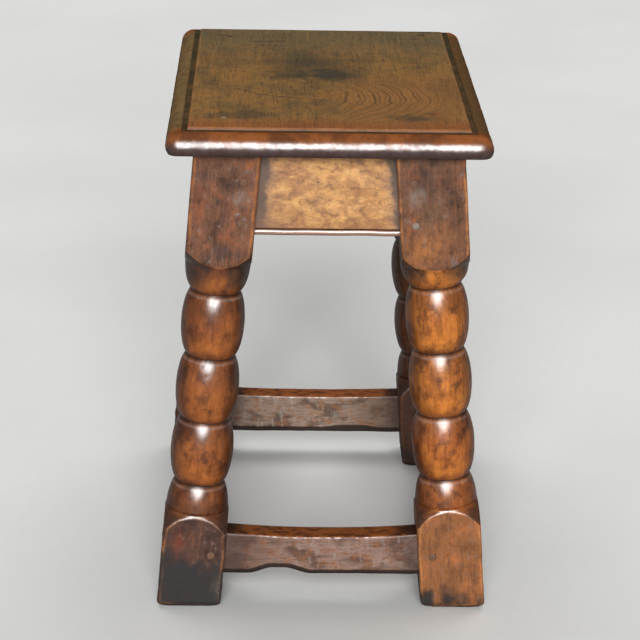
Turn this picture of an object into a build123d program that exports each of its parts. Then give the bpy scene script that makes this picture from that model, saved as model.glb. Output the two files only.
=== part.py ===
from build123d import *

import os
from collections import namedtuple
from math import asin, cos, degrees, radians, sqrt, tan

# Joint stool with bobbin-turned legs, in millimetres.
#
# Four turned legs carry the seat board. Level rails join them across each end, leaning rails join them
# along each side, and every rail is tenoned into the legs and held there by wooden pegs. The legs are
# upright seen from a side and splayed seen from an end. +X is across the stool, +Y along it and +Z up,
# with the origin on the floor under the middle of the seat. The front is the end at -Y.

# The stool as a whole
stool_height = 450.0  # floor to the top of the seat
seat_length = 430.0
seat_width = 280.0
seat_thickness = 22.0
seat_corner = 11.0  # plan radius of the seat's corners
end_overhang = 18.0  # seat past the legs' end faces
side_overhang = 24.0  # seat past the legs' side faces, where they meet it
splay = 4.5  # lean of each leg towards its side, in degrees

# The thumb moulding round the seat
field_step = 2.5  # drop from the field to the fillet
fillet_width = 4.0  # flat at the foot of the step
thumb_width = 15.0  # across the rounded part
thumb_drop = 12.5  # from the fillet to the widest line of the edge
under_round = 4.5  # how far the rounding below that line comes in

# Legs
leg_square = 58.0
arris_radius = 3.0
upper_block = 89.5  # square stock below the seat, along its corners
lower_block = 81.0  # square stock above the floor, along its corners
shoulder = 14.0  # length of the cone that turns a block's corners into a round
collar = 3.0  # plain round between a shoulder and its nick
collar_relief = 0.6  # how far the collar lies inside the block's faces
bobbin_count = 3
half_bobbin = 22.0  # length of the part bobbin at each end of the turning
bobbin_radius = 28.3
groove_radius = 21.7
bobbin_fullness = 1.045  # half height of a bobbin's ellipse over half its length
nick_depth = 2.5  # cut that parts the lowest half bobbin from its collar
nick_width = 2.2
foot_chamfer = 2.5

# Aprons: the rails under the seat
apron_height = 76.0
apron_thickness = 20.0
apron_recess = 6.0  # from the legs' outer faces to the apron's
apron_haunch = 17.0  # from the top of the frame to its tenons
apron_shoulder = 3.0  # from its tenons to its lower edge
bead_radius = 3.0
quirk_width = 1.3

# Stretchers: the rails near the floor
stretcher_top = 73.0
stretcher_height = 41.5
stretcher_drop = 4.0  # how much lower the back one is let in
stretcher_thickness = 24.0
stretcher_recess = 5.0
stretcher_shoulder = 4.0  # above and below its tenons
stretcher_round = 2.5  # upper edges
stretcher_ease = 1.2  # lower edges
front_wear = 3.5  # depth of the hollow that feet have worn in a stretcher's top
back_wear = 1.8
side_wear = 2.4

# Mortise and tenon joints
mortise_setback = 10.5  # from a leg's outer face to a tenon
tenon_thickness = 9.5
mortise_web = 5.0  # wood left between the two mortises of a block
mortise_room = 1.0  # past the end of a tenon or a peg
joint_fit = 0.1  # room on each cheek and edge of a tenon

# Pegs
peg_radius = 4.0
peg_fit = 0.05  # radial room in the hole
peg_inset = 13.0  # from a rail's shoulder to its pegs
peg_edge = 9.5  # from an apron tenon's edges to its pegs
peg_backing = 22.0  # wood left past a rail peg
peg_point = 6.0  # length of the taper at its inner end
peg_tip_radius = 2.4
peg_proud = 0.6  # how far a rail peg stands out of the leg
seat_peg_bite = 33.0  # depth of a seat peg in the leg
peg_clear = 1.5  # least wood between a seat peg and its neighbours

# Worked out from the sizes above
frame_top = stool_height - seat_thickness
slope = tan(radians(splay))
leg_breadth = leg_square / cos(radians(splay))  # of a leaning leg, measured level
half_square = leg_square / 2
side_face_x = seat_width / 2 - side_overhang  # legs' outer faces at the frame's top
leg_top_x = side_face_x - leg_breadth / 2
foot_x = leg_top_x + frame_top * slope
end_face_y = seat_length / 2 - end_overhang
leg_y = end_face_y - half_square
tenon_length = leg_square - mortise_setback - tenon_thickness - mortise_web - mortise_room
peg_length = leg_square - peg_backing
seat_peg_length = seat_thickness + seat_peg_bite
past_all = seat_length + seat_width  # longer than any piece, for cutters and stock

Rail = namedtuple("Rail", "low high recess thickness tenon_low tenon_high peg_heights")
apron_low = frame_top - apron_height
apron_tenon = (apron_low + apron_shoulder, frame_top - apron_haunch)
apron_pegs = (apron_tenon[0] + peg_edge, apron_tenon[1] - peg_edge)
apron = Rail(apron_low, frame_top, apron_recess, apron_thickness, *apron_tenon, apron_pegs)
stretcher_low = stretcher_top - stretcher_height
stretcher_tenon = (stretcher_low + stretcher_shoulder, stretcher_top - stretcher_shoulder)
stretcher_pegs = ((stretcher_low + stretcher_top) / 2,)
stretcher = Rail(
    stretcher_low,
    stretcher_top,
    stretcher_recess,
    stretcher_thickness,
    *stretcher_tenon,
    stretcher_pegs,
)
back_stretcher = stretcher._replace(
    low=stretcher.low - stretcher_drop,
    high=stretcher.high - stretcher_drop,
    tenon_low=stretcher.tenon_low - stretcher_drop,
    tenon_high=stretcher.tenon_high - stretcher_drop,
    peg_heights=tuple(z - stretcher_drop for z in stretcher.peg_heights),
)

Bobbin = namedtuple("Bobbin", "middle half_height base bulge")

UPRIGHT = Vector(0, 0, 1)
FROM_END = (Align.CENTER, Align.CENTER, Align.MIN)
ENDS = {"front": -1, "back": 1}
SIDES = {"left": -1, "right": 1}
END_STRETCHERS = {-1: stretcher, 1: back_stretcher}


def box_between(x, y, z):
    """A box from its two x, two y and two z values."""
    (x0, x1), (y0, y1), (z0, z1) = sorted(x), sorted(y), sorted(z)
    return Pos(x0, y0, z0) * Box(x1 - x0, y1 - y0, z1 - z0, align=(Align.MIN, Align.MIN, Align.MIN))


def lean(side):
    """Where a side's leaning frame stands: upright work on the origin goes there."""
    return Location((side * foot_x, 0, 0), (0, -side * splay, 0))


def along_leg(height):
    """Distance along a leaning leg that reaches this height."""
    return height / cos(radians(splay))


def inner_x(height):
    """Half the width between the two legs of an end, at this height."""
    return side_face_x + (frame_top - height) * slope - leg_breadth


def level_slab():
    """Everything between the floor and the top of the frame."""
    return box_between((-past_all, past_all), (-past_all, past_all), (0, frame_top))


def cross_plane(out):
    """A plane for sections: its x runs outwards, its y up and its normal along the piece."""
    return Plane((0, 0, 0), x_dir=out, z_dir=out.cross(UPRIGHT))


def face_plane(out, distance):
    """A plane for side views: its normal runs outwards and its y up."""
    return Plane(out * distance, x_dir=UPRIGHT.cross(out), z_dir=out)


# Seat


def thumb_section(half_width):
    """Section across the seat, moulded at both edges."""
    fillet_z = stool_height - field_step
    widest_z = fillet_z - thumb_drop
    thumb_x = half_width - thumb_width
    step_x = thumb_x - fillet_width
    under_x = half_width - under_round
    half_under = widest_z - frame_top
    outline = [
        Line((0, frame_top), (under_x, frame_top)),
        EllipticalCenterArc((under_x, widest_z), under_round, half_under, -90, arc_size=90),
        EllipticalCenterArc((thumb_x, widest_z), thumb_width, thumb_drop, 0, arc_size=90),
        Line((thumb_x, fillet_z), (step_x, fillet_z)),
        Line((step_x, fillet_z), (step_x, stool_height)),
        Line((step_x, stool_height), (0, stool_height)),
        Line((0, stool_height), (0, frame_top)),
    ]
    half = make_face(outline)
    return half + mirror(half, about=Plane.YZ)


def seat_board():
    """One board, thumb-moulded all round and bored for its four pegs."""
    across = extrude(cross_plane(Vector(1, 0, 0)) * thumb_section(seat_width / 2), past_all, both=True)
    along = extrude(cross_plane(Vector(0, 1, 0)) * thumb_section(seat_length / 2), past_all, both=True)
    outline = RectangleRounded(seat_width, seat_length, seat_corner)
    board = Pos(0, 0, frame_top) * extrude(outline, seat_thickness) & across & along
    for side in SIDES.values():
        for end in ENDS.values():
            board -= peg_hole(seat_peg_place(side, end), seat_peg_length)
    return board


# Pegs and the places they go in, as planes whose normal is the way they are driven


def tapered_peg(place, length, proud):
    """A peg with a tapered inner end, driven in to the length given."""
    shank = length - peg_point
    peg = Pos(0, 0, -proud) * Cylinder(peg_radius, shank + proud, align=FROM_END)
    peg += Pos(0, 0, shank) * Cone(peg_radius, peg_tip_radius, peg_point, align=FROM_END)
    return place * peg


def peg_hole(place, length):
    """The hole for such a peg, open outwards."""
    bore = Cylinder(peg_radius + peg_fit, length + mortise_room + past_all, align=FROM_END)
    return place * (Pos(0, 0, -past_all) * bore)


def end_peg_place(side, end, height):
    """A peg of an end rail."""
    point = (side * (inner_x(height) + peg_inset), end * end_face_y, height)
    return Plane(point, z_dir=(0, -end, 0))


def side_peg_place(side, end, height):
    """A peg of a side rail, leaning with its side."""
    point = (side * half_square, end * (leg_y - half_square + peg_inset), along_leg(height))
    return Plane(lean(side) * Plane(point, z_dir=(-side, 0, 0)).location)


def seat_peg_place(side, end):
    """A seat peg, inside the side apron's tenon and clear of its pegs."""
    room = peg_radius + peg_clear
    x = leg_top_x + half_square - mortise_setback - tenon_thickness - room
    y = leg_y - half_square + peg_inset + peg_radius + room
    return Plane((side * x, end * y, stool_height), z_dir=(0, 0, -1))


def end_rail_places(rail, end):
    return [end_peg_place(side, end, z) for side in SIDES.values() for z in rail.peg_heights]


def side_rail_places(rail, side):
    return [side_peg_place(side, end, z) for end in ENDS.values() for z in rail.peg_heights]


def rail_pegs(places):
    """The pegs of one rail, as separate solids."""
    return Compound([tapered_peg(place, peg_length, peg_proud).solid() for place in places])


def seat_pegs():
    """The four pegs of the seat, as separate solids."""
    places = [seat_peg_place(side, end) for side in SIDES.values() for end in ENDS.values()]
    return Compound([tapered_peg(place, seat_peg_length, 0).solid() for place in places])


# Rails


def end_plate(z, reach, y):
    """A plate across an end that reaches past the leaning legs' inner faces by the length given."""
    low, high = z
    y0, y1 = sorted(y)
    corners = [
        (-inner_x(low) - reach, low),
        (inner_x(low) + reach, low),
        (inner_x(high) + reach, high),
        (-inner_x(high) - reach, high),
    ]
    plate = make_face(Polyline(*corners, close=True))
    return extrude(Plane.XZ.offset(-y1) * plate, y1 - y0)


def end_tenons(rail, end, room=0.0, past=0.0):
    """Both tenons of an end rail as one bar through it, or with room, the mortises for them."""
    outer = end_face_y - mortise_setback + room
    inner = end_face_y - mortise_setback - tenon_thickness - room
    z = (rail.tenon_low - room, rail.tenon_high + room)
    return end_plate(z, tenon_length + past, (end * outer, end * inner))


def side_tenons(rail, side, room=0.0, past=0.0):
    """The same for a side rail, leaning with its side."""
    outer = half_square - mortise_setback + room
    inner = half_square - mortise_setback - tenon_thickness - room
    reach = leg_y - half_square + tenon_length + past
    z = (along_leg(rail.tenon_low) - room, along_leg(rail.tenon_high) + room)
    return lean(side) * box_between((side * outer, side * inner), (-reach, reach), z)


def apron_bar(out, face, half_length, low, high):
    """A length of apron with the bead scratched along its lower edge."""
    back = face - apron_thickness
    bead_x = face - bead_radius
    bead_top = low + 2 * bead_radius
    outline = [
        Line((back, low), (bead_x, low)),
        ThreePointArc((bead_x, low), (face, low + bead_radius), (bead_x, bead_top)),
        Polyline((bead_x, bead_top), (face, bead_top + quirk_width), (face, high), (back, high), (back, low)),
    ]
    return extrude(cross_plane(out) * make_face(outline), half_length, both=True)


def stretcher_bar(out, face, half_length, low, high, wear):
    """A length of stretcher, worn hollow along its top."""
    outline = [
        Polyline((-half_length, high), (-half_length, low), (half_length, low), (half_length, high)),
        ThreePointArc((half_length, high), (0, high - wear), (-half_length, high)),
    ]
    plane = face_plane(out, face - stretcher_thickness)
    bar = extrude(plane * make_face(outline), stretcher_thickness)
    bar = fillet(long_edges(bar, half_length)[2:], stretcher_round)
    return fillet(long_edges(bar, half_length)[:2], stretcher_ease)


def long_edges(bar, half_length):
    """The edges along a bar, the lowest first."""
    return bar.edges().filter_by(lambda edge: edge.length > half_length).sort_by(Axis.Z)


def end_rail(rail, end, wear=0.0):
    """An end rail: its body cut to the leaning legs, its tenons, and the holes for its pegs."""
    out = Vector(0, end, 0)
    face = end_face_y - rail.recess
    longest = inner_x(rail.low)
    if rail is apron:
        bar = apron_bar(out, face, longest, rail.low, rail.high)
    else:
        bar = stretcher_bar(out, face, longest, rail.low, rail.high, wear)
    body = bar & end_plate((rail.low, rail.high), 0, (0, end * past_all))
    body += end_tenons(rail, end)
    for place in end_rail_places(rail, end):
        body -= peg_hole(place, peg_length)
    return body


def side_rail(rail, side, wear=0.0):
    """A side rail, leaning with the legs that it joins. An apron is planed level with the frame's top."""
    out = Vector(side, 0, 0)
    face = half_square - rail.recess
    half_length = leg_y - half_square
    low = along_leg(rail.low)
    if rail is apron:
        bar = apron_bar(out, face, half_length, low, past_all)
    else:
        bar = stretcher_bar(out, face, half_length, low, along_leg(rail.high), wear)
    body = lean(side) * bar & level_slab()
    body += side_tenons(rail, side)
    for place in side_rail_places(rail, side):
        body -= peg_hole(place, peg_length)
    return body


# Legs


def bobbin_between(low, high):
    """The ellipse of a bobbin that swells between two grooves at these heights."""
    bulge = (bobbin_radius - groove_radius) / (1 - sqrt(1 - 1 / bobbin_fullness**2))
    half_height = (high - low) / 2 * bobbin_fullness
    return Bobbin((low + high) / 2, half_height, bobbin_radius - bulge, bulge)


def radius_on(bobbin, height):
    """Radius of a bobbin at a height."""
    return bobbin.base + bobbin.bulge * sqrt(1 - ((height - bobbin.middle) / bobbin.half_height) ** 2)


def bobbin_arc(bobbin, low, high):
    """The stretch of a bobbin's outline from one height up to another."""
    start = degrees(asin((low - bobbin.middle) / bobbin.half_height))
    stop = degrees(asin((high - bobbin.middle) / bobbin.half_height))
    centre = (bobbin.base, bobbin.middle)
    return EllipticalCenterArc(centre, bobbin.bulge, bobbin.half_height, start, arc_size=stop - start)


def turned_blank():
    """The leg off the lathe, with its blocks left rounder than their squares."""
    collar_radius = half_square - collar_relief
    corner_radius = half_square * sqrt(2) - arris_radius * (sqrt(2) - 1)
    blank_radius = leg_square
    run = shoulder * (blank_radius - collar_radius) / (corner_radius - collar_radius)
    nick_radius = bobbin_radius - nick_depth
    block_top = along_leg(frame_top) - upper_block
    low_apex = lower_block + shoulder
    high_apex = block_top - shoulder
    low, high = low_apex + collar, high_apex - collar
    first, last = low + half_bobbin, high - half_bobbin
    pitch = (last - first) / bobbin_count
    lower = bobbin_between(first - pitch, first)
    upper = bobbin_between(last, last + pitch)
    nick_top = low + nick_width
    outline = [
        Polyline(
            (0, -leg_square),
            (blank_radius, -leg_square),
            (blank_radius, low_apex - run),
            (collar_radius, low_apex),
            (collar_radius, low),
            (nick_radius, low + nick_width / 2),
            (radius_on(lower, nick_top), nick_top),
        ),
        bobbin_arc(lower, nick_top, first),
        bobbin_arc(upper, last, high),
        Polyline(
            (radius_on(upper, high), high),
            (collar_radius, high_apex),
            (blank_radius, high_apex + run),
            (blank_radius, past_all),
            (0, past_all),
            (0, -leg_square),
        ),
    ]
    for i in range(bobbin_count):
        foot = first + pitch * i
        outline.append(bobbin_arc(bobbin_between(foot, foot + pitch), foot, foot + pitch))
    return revolve(Plane.XZ * make_face(outline), Axis.Z)


def leg_stock():
    """A leg with its blocks squared, upright on the origin and still too long at both ends."""
    square = extrude(RectangleRounded(leg_square, leg_square, arris_radius), past_all, both=True)
    return square & turned_blank()


def leg(side, end, stock):
    """A leg in its place, cut level at both ends, mortised and bored."""
    piece = lean(side) * (Pos(0, end * leg_y, 0) * stock) & level_slab()
    piece = chamfer(piece.faces().sort_by(Axis.Z)[0].edges(), foot_chamfer)
    places = []
    for rail in (apron, END_STRETCHERS[end]):
        piece -= end_tenons(rail, end, joint_fit, mortise_room)
        places += [end_peg_place(side, end, z) for z in rail.peg_heights]
    for rail in (apron, stretcher):
        piece -= side_tenons(rail, side, joint_fit, mortise_room)
        places += [side_peg_place(side, end, z) for z in rail.peg_heights]
    for place in places:
        piece -= peg_hole(place, peg_length)
    return piece - peg_hole(seat_peg_place(side, end), seat_peg_length)


def assembly():
    """Every piece of the stool by name. The pegs of one rail share a name."""
    pieces = {"seat_board": seat_board(), "pegs_seat": seat_pegs()}
    stock = leg_stock()
    wears = {"front": front_wear, "back": back_wear}
    for end_name, end in ENDS.items():
        for side_name, side in SIDES.items():
            pieces[f"leg_{end_name}_{side_name}"] = leg(side, end, stock)
        pieces[f"apron_{end_name}"] = end_rail(apron, end)
        pieces[f"stretcher_{end_name}"] = end_rail(END_STRETCHERS[end], end, wears[end_name])
        pieces[f"pegs_apron_{end_name}"] = rail_pegs(end_rail_places(apron, end))
        pieces[f"pegs_stretcher_{end_name}"] = rail_pegs(end_rail_places(END_STRETCHERS[end], end))
    for side_name, side in SIDES.items():
        pieces[f"apron_{side_name}"] = side_rail(apron, side)
        pieces[f"stretcher_{side_name}"] = side_rail(stretcher, side, side_wear)
        pieces[f"pegs_apron_{side_name}"] = rail_pegs(side_rail_places(apron, side))
        pieces[f"pegs_stretcher_{side_name}"] = rail_pegs(side_rail_places(stretcher, side))
    return pieces


def main():
    os.makedirs("parts", exist_ok=True)
    for name, piece in assembly().items():
        export_step(piece, f"parts/{name}.step")


if __name__ == "__main__":
    main()
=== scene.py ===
import math
from collections import namedtuple

import bmesh
import bpy
from bpy.props import FloatProperty, FloatVectorProperty, IntProperty, PointerProperty
from mathutils import Matrix, Vector, noise


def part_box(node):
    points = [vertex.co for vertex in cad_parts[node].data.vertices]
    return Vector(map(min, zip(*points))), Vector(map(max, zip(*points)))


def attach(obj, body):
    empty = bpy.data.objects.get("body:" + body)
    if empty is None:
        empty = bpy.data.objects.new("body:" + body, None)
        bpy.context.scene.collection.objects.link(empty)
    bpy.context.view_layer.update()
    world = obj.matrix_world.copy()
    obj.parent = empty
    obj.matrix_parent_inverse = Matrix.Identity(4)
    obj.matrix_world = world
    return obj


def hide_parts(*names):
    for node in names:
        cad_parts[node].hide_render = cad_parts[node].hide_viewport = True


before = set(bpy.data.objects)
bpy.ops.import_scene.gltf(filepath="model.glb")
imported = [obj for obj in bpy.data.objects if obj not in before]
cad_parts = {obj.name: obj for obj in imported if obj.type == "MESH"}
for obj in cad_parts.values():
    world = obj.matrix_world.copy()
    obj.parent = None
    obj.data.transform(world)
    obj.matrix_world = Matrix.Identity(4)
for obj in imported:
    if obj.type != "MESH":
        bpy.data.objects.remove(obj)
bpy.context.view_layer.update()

bl_info = {
    "name": "Joint Stool",
    "version": (1, 0, 0),
    "blender": (4, 5, 0),
    "location": "3D View > Sidebar > Stool",
    "description": "Builds the worn and waxed oak of a joint stool with bobbin-turned legs",
    "category": "Object",
}

MM = 0.001
ENDS = {"front": -1, "back": 1}
SIDES = {"left": -1, "right": 1}
RAIL_NAMES = (*ENDS, *SIDES)

# Places and sizes that the frame gives. +X is across the stool, +Y along it, the front is the end at -Y.
seat_low, seat_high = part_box("seat_board")
leg_low, leg_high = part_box("leg_back_right")
apron_low, apron_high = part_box("apron_back")
stretcher_low, stretcher_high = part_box("stretcher_back")
FRAME_TOP = leg_high.z
LEG_SQUARE = leg_high.y - leg_low.y
HALF_SQUARE = LEG_SQUARE / 2
LEG_Y = (leg_high.y + leg_low.y) / 2
END_FACE_Y = leg_high.y


def length(name, description, millimetres):
    """A length that a user may change."""
    default = millimetres * MM
    return FloatProperty(name=name, description=description, default=default, min=0.0, unit="LENGTH")


def colour(name, description, default):
    """A colour that a user may change."""
    return FloatVectorProperty(
        name=name, description=description, default=default, subtype="COLOR", min=0.0, max=1.0
    )


def amount(name, description, default):
    """A plain number that a user may change."""
    return FloatProperty(name=name, description=description, default=default)


class StoolSeat(bpy.types.PropertyGroup):
    """The seat's moulding and colours."""

    corner: length("Corner", "Plan radius of the seat's corners", 11)
    field_step: length("Field step", "Drop from the field to the fillet round it", 2.5)
    fillet_width: length("Fillet width", "Flat at the foot of the step", 5.3)
    thumb_width: length("Thumb width", "Across the rounded part of the moulding", 13.7)
    thumb_drop: length("Thumb drop", "From the fillet to the widest line of the edge", 12.5)
    under_round: length("Under round", "How far the rounding below that line comes in", 4.5)
    wood: colour("Wood", "Most of the field", (0.31, 0.157, 0.040))
    shaded_wood: colour("Shaded wood", "The field's duller patches", (0.19, 0.108, 0.034))
    warm_wood: colour("Warm wood", "The field near the front edge and the thumb", (0.33, 0.094, 0.019))
    stain: colour("Stain", "The dark stain in the middle", (0.028, 0.032, 0.022))


class StoolLegs(bpy.types.PropertyGroup):
    """The legs' turning and colours."""

    splay: FloatProperty(
        name="Splay", description="Lean of each leg to its side", default=math.radians(4.5), subtype="ANGLE"
    )
    arris_radius: length("Arris radius", "Rounding that the shoulders' cones allow for", 3)
    upper_block: length("Upper block", "Square stock below the seat", 89.5)
    lower_block: length("Lower block", "Square stock above the floor", 81)
    shoulder: length("Shoulder", "Length of the cone between a block's corners and the round", 14)
    collar: length("Collar", "Plain round next to a shoulder", 3)
    collar_relief: length("Collar relief", "How far the collar lies inside the faces", 0.6)
    half_bobbin: length("Half bobbin", "Length of the part bobbin at each end of the turning", 22)
    bobbin_radius: length("Bobbin radius", "Largest radius of a bobbin", 28.3)
    groove_radius: length("Groove radius", "Radius where two bobbins meet", 21.7)
    nick_depth: length("Nick depth", "Cut above the lower collar", 2.5)
    nick_width: length("Nick width", "Width of that cut", 2.2)
    bobbin_fullness: amount("Fullness", "Half height of a bobbin's ellipse over half its length", 1.045)
    bobbins: IntProperty(name="Bobbins", description="Whole bobbins on a leg", default=3, min=1)
    umber: colour("Umber", "The turning's darker wood", (0.22, 0.058, 0.014))


class StoolRails(bpy.types.PropertyGroup):
    """The aprons' and stretchers' shapes and colours."""

    bead_radius: length("Bead radius", "The bead along an apron's lower edge", 3)
    quirk_width: length("Quirk width", "The slope from the bead's groove up to the face", 1.3)
    front_wear: length("Front wear", "Hollow that feet have worn in the front stretcher", 3.5)
    back_wear: length("Back wear", "The same in the back stretcher", 1.8)
    side_wear: length("Side wear", "The same in the side stretchers", 2.4)
    stretcher_round: length("Stretcher round", "Rounding of a stretcher's upper edges", 2.5)
    stretcher_ease: length("Stretcher ease", "Rounding of its lower edges", 1.2)
    gold: colour("Gold", "The aprons' pale wood", (0.74, 0.385, 0.145))
    brown: colour("Brown", "The aprons' dark mottling", (0.40, 0.195, 0.100))
    mauve: colour("Mauve", "A stretcher's dull faces", (0.335, 0.208, 0.163))
    rust: colour("Rust", "A stretcher's rubbed top", (0.30, 0.088, 0.020))


class StoolPegs(bpy.types.PropertyGroup):
    """The pegs."""

    radius: length("Radius", "Radius of every peg", 4)
    proud: length("Proud", "How far a rail peg stands out of the leg", 0.6)
    wood: colour("Wood", "The pegs' end grain", (0.22, 0.115, 0.068))


class StoolStage(bpy.types.PropertyGroup):
    """The floor and the light."""

    floor: colour("Floor", "The plain pale floor", (0.84, 0.84, 0.822))
    matt: amount("Matt", "How much of its light the floor gives back to the stool", 0.3)
    key: amount("Key", "Strength of the main light, where 1 lights a facing surface fully", 0.96)
    fill: amount("Fill", "Strength of each of the two lights from behind", 0.19)
    gleam: amount("Gleam", "Strength of the broad light that only polish shows", 1.5)
    sky: amount("Sky", "Strength of the light from all round", 0.13)


class StoolSettings(bpy.types.PropertyGroup):
    """Everything that a user may change on the stool."""

    seat: PointerProperty(name="Seat", type=StoolSeat)
    legs: PointerProperty(name="Legs", type=StoolLegs)
    rails: PointerProperty(name="Rails", type=StoolRails)
    pegs: PointerProperty(name="Pegs", type=StoolPegs)
    stage: PointerProperty(name="Stage", type=StoolStage)


# Numbers


def blend(start, stop, value):
    """0 at start, 1 at stop and smooth between them."""
    share = min(max((value - start) / (stop - start), 0.0), 1.0)
    return share * share * (3 - 2 * share)


def between(first, second, share):
    return first + (second - first) * share


def soft_min(first, second, soft):
    """The smaller of two lengths, with the corner between them rounded off."""
    overlap = max(soft - abs(first - second), 0.0) / soft
    return min(first, second) - overlap * overlap * soft / 4


def ripple(point, size, seed):
    """Seeded noise between -1 and 1, with swells about as long as the size."""
    return noise.noise(Vector(point) / size + Vector((seed * 3.7, seed * 1.3, seed * 7.1)))


def unevenness(point, offset, *swells):
    """Planed hollows, each of a depth, a size and a seed. The offset keeps them inside the flat."""
    return sum(depth * (ripple(point, size, seed) - offset) for depth, size, seed in swells)


# Meshes

SHARP_ANGLE = math.radians(45)


def make_piece(bm, name, material, slot, *nodes):
    """Closes a bmesh into a piece that stands for these nodes."""
    bmesh.ops.recalc_face_normals(bm, faces=bm.faces)
    for face in bm.faces:
        face.smooth = True
    mesh = bpy.data.meshes.new(name)
    bm.to_mesh(mesh)
    bm.free()
    mesh.set_sharp_from_angle(angle=SHARP_ANGLE)
    mesh.materials.append(material)
    piece = bpy.data.objects.new(name, mesh)
    bpy.context.scene.collection.objects.link(piece)
    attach(piece, "root")
    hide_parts(*nodes)
    return piece


def divide(bm, edges, pitch):
    """Cuts edges into lengths of about the pitch."""
    for edge in list(edges):
        cuts = round(edge.calc_length() / pitch) - 1
        if cuts > 0:
            bmesh.ops.subdivide_edges(bm, edges=[edge], cuts=cuts)


def draw_out(bm, loop):
    """Extrudes a loop of edges in place. Gives the new points and the new loop."""
    geometry = bmesh.ops.extrude_edge_only(bm, edges=loop)["geom"]
    points = [item for item in geometry if isinstance(item, bmesh.types.BMVert)]
    fresh = set(points)
    edges = [item for item in geometry if isinstance(item, bmesh.types.BMEdge)]
    return points, [edge for edge in edges if edge.verts[0] in fresh and edge.verts[1] in fresh]


def turn_outline(bm, steps):
    """Spins a wire in the XZ plane round Z and closes its seam and poles."""
    settings = {"axis": (0, 0, 1), "cent": (0, 0, 0), "angle": math.tau, "use_merge": True}
    bmesh.ops.spin(bm, geom=list(bm.verts) + list(bm.edges), steps=steps, **settings)
    bmesh.ops.remove_doubles(bm, verts=bm.verts, dist=0.01 * MM)


# Legs


def foot_centre(splay):
    """How far a leg's middle stands from the stool's, at the floor."""
    return leg_high.x - HALF_SQUARE / math.cos(splay)


Shoulder = namedtuple("Shoulder", "length curve")
Shift = namedtuple("Shift", "bobbins low high")  # up from the places that the sizes give
Leg = namedtuple("Leg", "side end seed shift upper lower soft foot arris broad")
LEGS = {
    "front_left": Leg(
        -1, -1, 1, Shift(-3.2 * MM, -4.9 * MM, -1.9 * MM), Shoulder(13.5 * MM, 0.9), Shoulder(15 * MM, 0.8),
        soft=1.6 * MM, foot=6.5 * MM, arris=2.3 * MM, broad=0.3 * MM,
    ),
    "front_right": Leg(
        1, -1, 2, Shift(4.5 * MM, 3.0 * MM, -1.5 * MM), Shoulder(13 * MM, 0.7), Shoulder(15 * MM, 0.75),
        soft=1.1 * MM, foot=8.5 * MM, arris=1.8 * MM, broad=0.9 * MM,
    ),
    "back_left": Leg(
        -1, 1, 3, Shift(-1.5 * MM, -2.5 * MM, -1.8 * MM), Shoulder(14 * MM, 0.85), Shoulder(14 * MM, 0.85),
        soft=1.6 * MM, foot=5 * MM, arris=2.2 * MM, broad=0.2 * MM,
    ),
    "back_right": Leg(
        1, 1, 4, Shift(1.5 * MM, 0.5 * MM, -1.5 * MM), Shoulder(13 * MM, 0.8), Shoulder(15 * MM, 0.8),
        soft=1.4 * MM, foot=6.5 * MM, arris=2.0 * MM, broad=0.2 * MM,
    ),
}
CORNER_CROWD = 0.45  # how much closer the points stand at a block's corners
ARRIS_WEAR = 1.2 * MM  # how much rounder the arrises are next to the turning
LEG_STEPS = 136  # points round a leg
LEG_PITCH = 1.45 * MM  # and their distance up it
CUT_PITCH = 10 * MM  # and in from the edge of its ends


class Turning:
    """Radii of one leg's turning, by distance up its axis from the floor."""

    def __init__(self, sizes, leg):
        self.sizes = sizes
        self.leg = leg
        self.length = FRAME_TOP / math.cos(sizes.splay)
        self.collar_radius = HALF_SQUARE - sizes.collar_relief
        self.corner_radius = HALF_SQUARE * math.sqrt(2) - sizes.arris_radius * (math.sqrt(2) - 1)
        low_apex = sizes.lower_block + sizes.shoulder
        high_apex = self.length - sizes.upper_block - sizes.shoulder
        self.first = low_apex + sizes.collar + sizes.half_bobbin + leg.shift.bobbins
        self.last = high_apex - sizes.collar - sizes.half_bobbin + leg.shift.bobbins
        self.low_apex = low_apex + leg.shift.low
        self.high_apex = high_apex + leg.shift.high
        self.low = self.low_apex + 0.3 * MM
        self.high = self.high_apex - sizes.collar
        self.pitch = (self.last - self.first) / sizes.bobbins
        fullness = sizes.bobbin_fullness
        self.bulge = (sizes.bobbin_radius - sizes.groove_radius) / (1 - math.sqrt(1 - 1 / fullness**2))

    def heights(self):
        """Where the outline has its corners."""
        grooves = [self.first + self.pitch * i for i in range(self.sizes.bobbins + 1)]
        nick = [self.low, self.low + self.sizes.nick_width / 2, self.low + self.sizes.nick_width]
        foot = self.leg.foot
        ends = [foot * 0.12, foot * 0.35, foot, self.low_apex - self.leg.lower.length]
        tops = [self.high, self.high_apex, self.high_apex + self.leg.upper.length]
        return [*ends, self.low_apex, *nick, *grooves, *tops]

    def on_shoulder(self, shoulder, distance):
        """Radius at a distance from the collar into a block."""
        rise = self.corner_radius - self.collar_radius
        eased = blend(-1 * MM, 4 * MM, distance)
        return self.collar_radius + rise * (distance / shoulder.length) ** shoulder.curve * eased

    def on_bobbin(self, height):
        """Radius on the bobbin that this height falls on."""
        place = (height - self.first) / self.pitch
        offset = (place - math.floor(place) - 0.5) * self.pitch
        reach = offset / (self.pitch / 2 * self.sizes.bobbin_fullness)
        return self.sizes.bobbin_radius - self.bulge * (1 - math.sqrt(1 - reach * reach))

    def radius(self, height):
        sizes = self.sizes
        if height < self.low_apex:
            return self.on_shoulder(self.leg.lower, self.low_apex - height)
        if height > self.high_apex:
            return self.on_shoulder(self.leg.upper, height - self.high_apex)
        if height < self.low or height > self.high:
            share = blend(self.high, self.high_apex, height)
            bobbin = self.on_bobbin(self.high) if share else self.collar_radius
            return between(self.collar_radius, bobbin, 1 - share)
        radius = self.on_bobbin(height)
        nick = 1 - abs(height - self.low - sizes.nick_width / 2) / (sizes.nick_width / 2)
        return radius - sizes.nick_depth * max(nick, 0.0)


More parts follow.
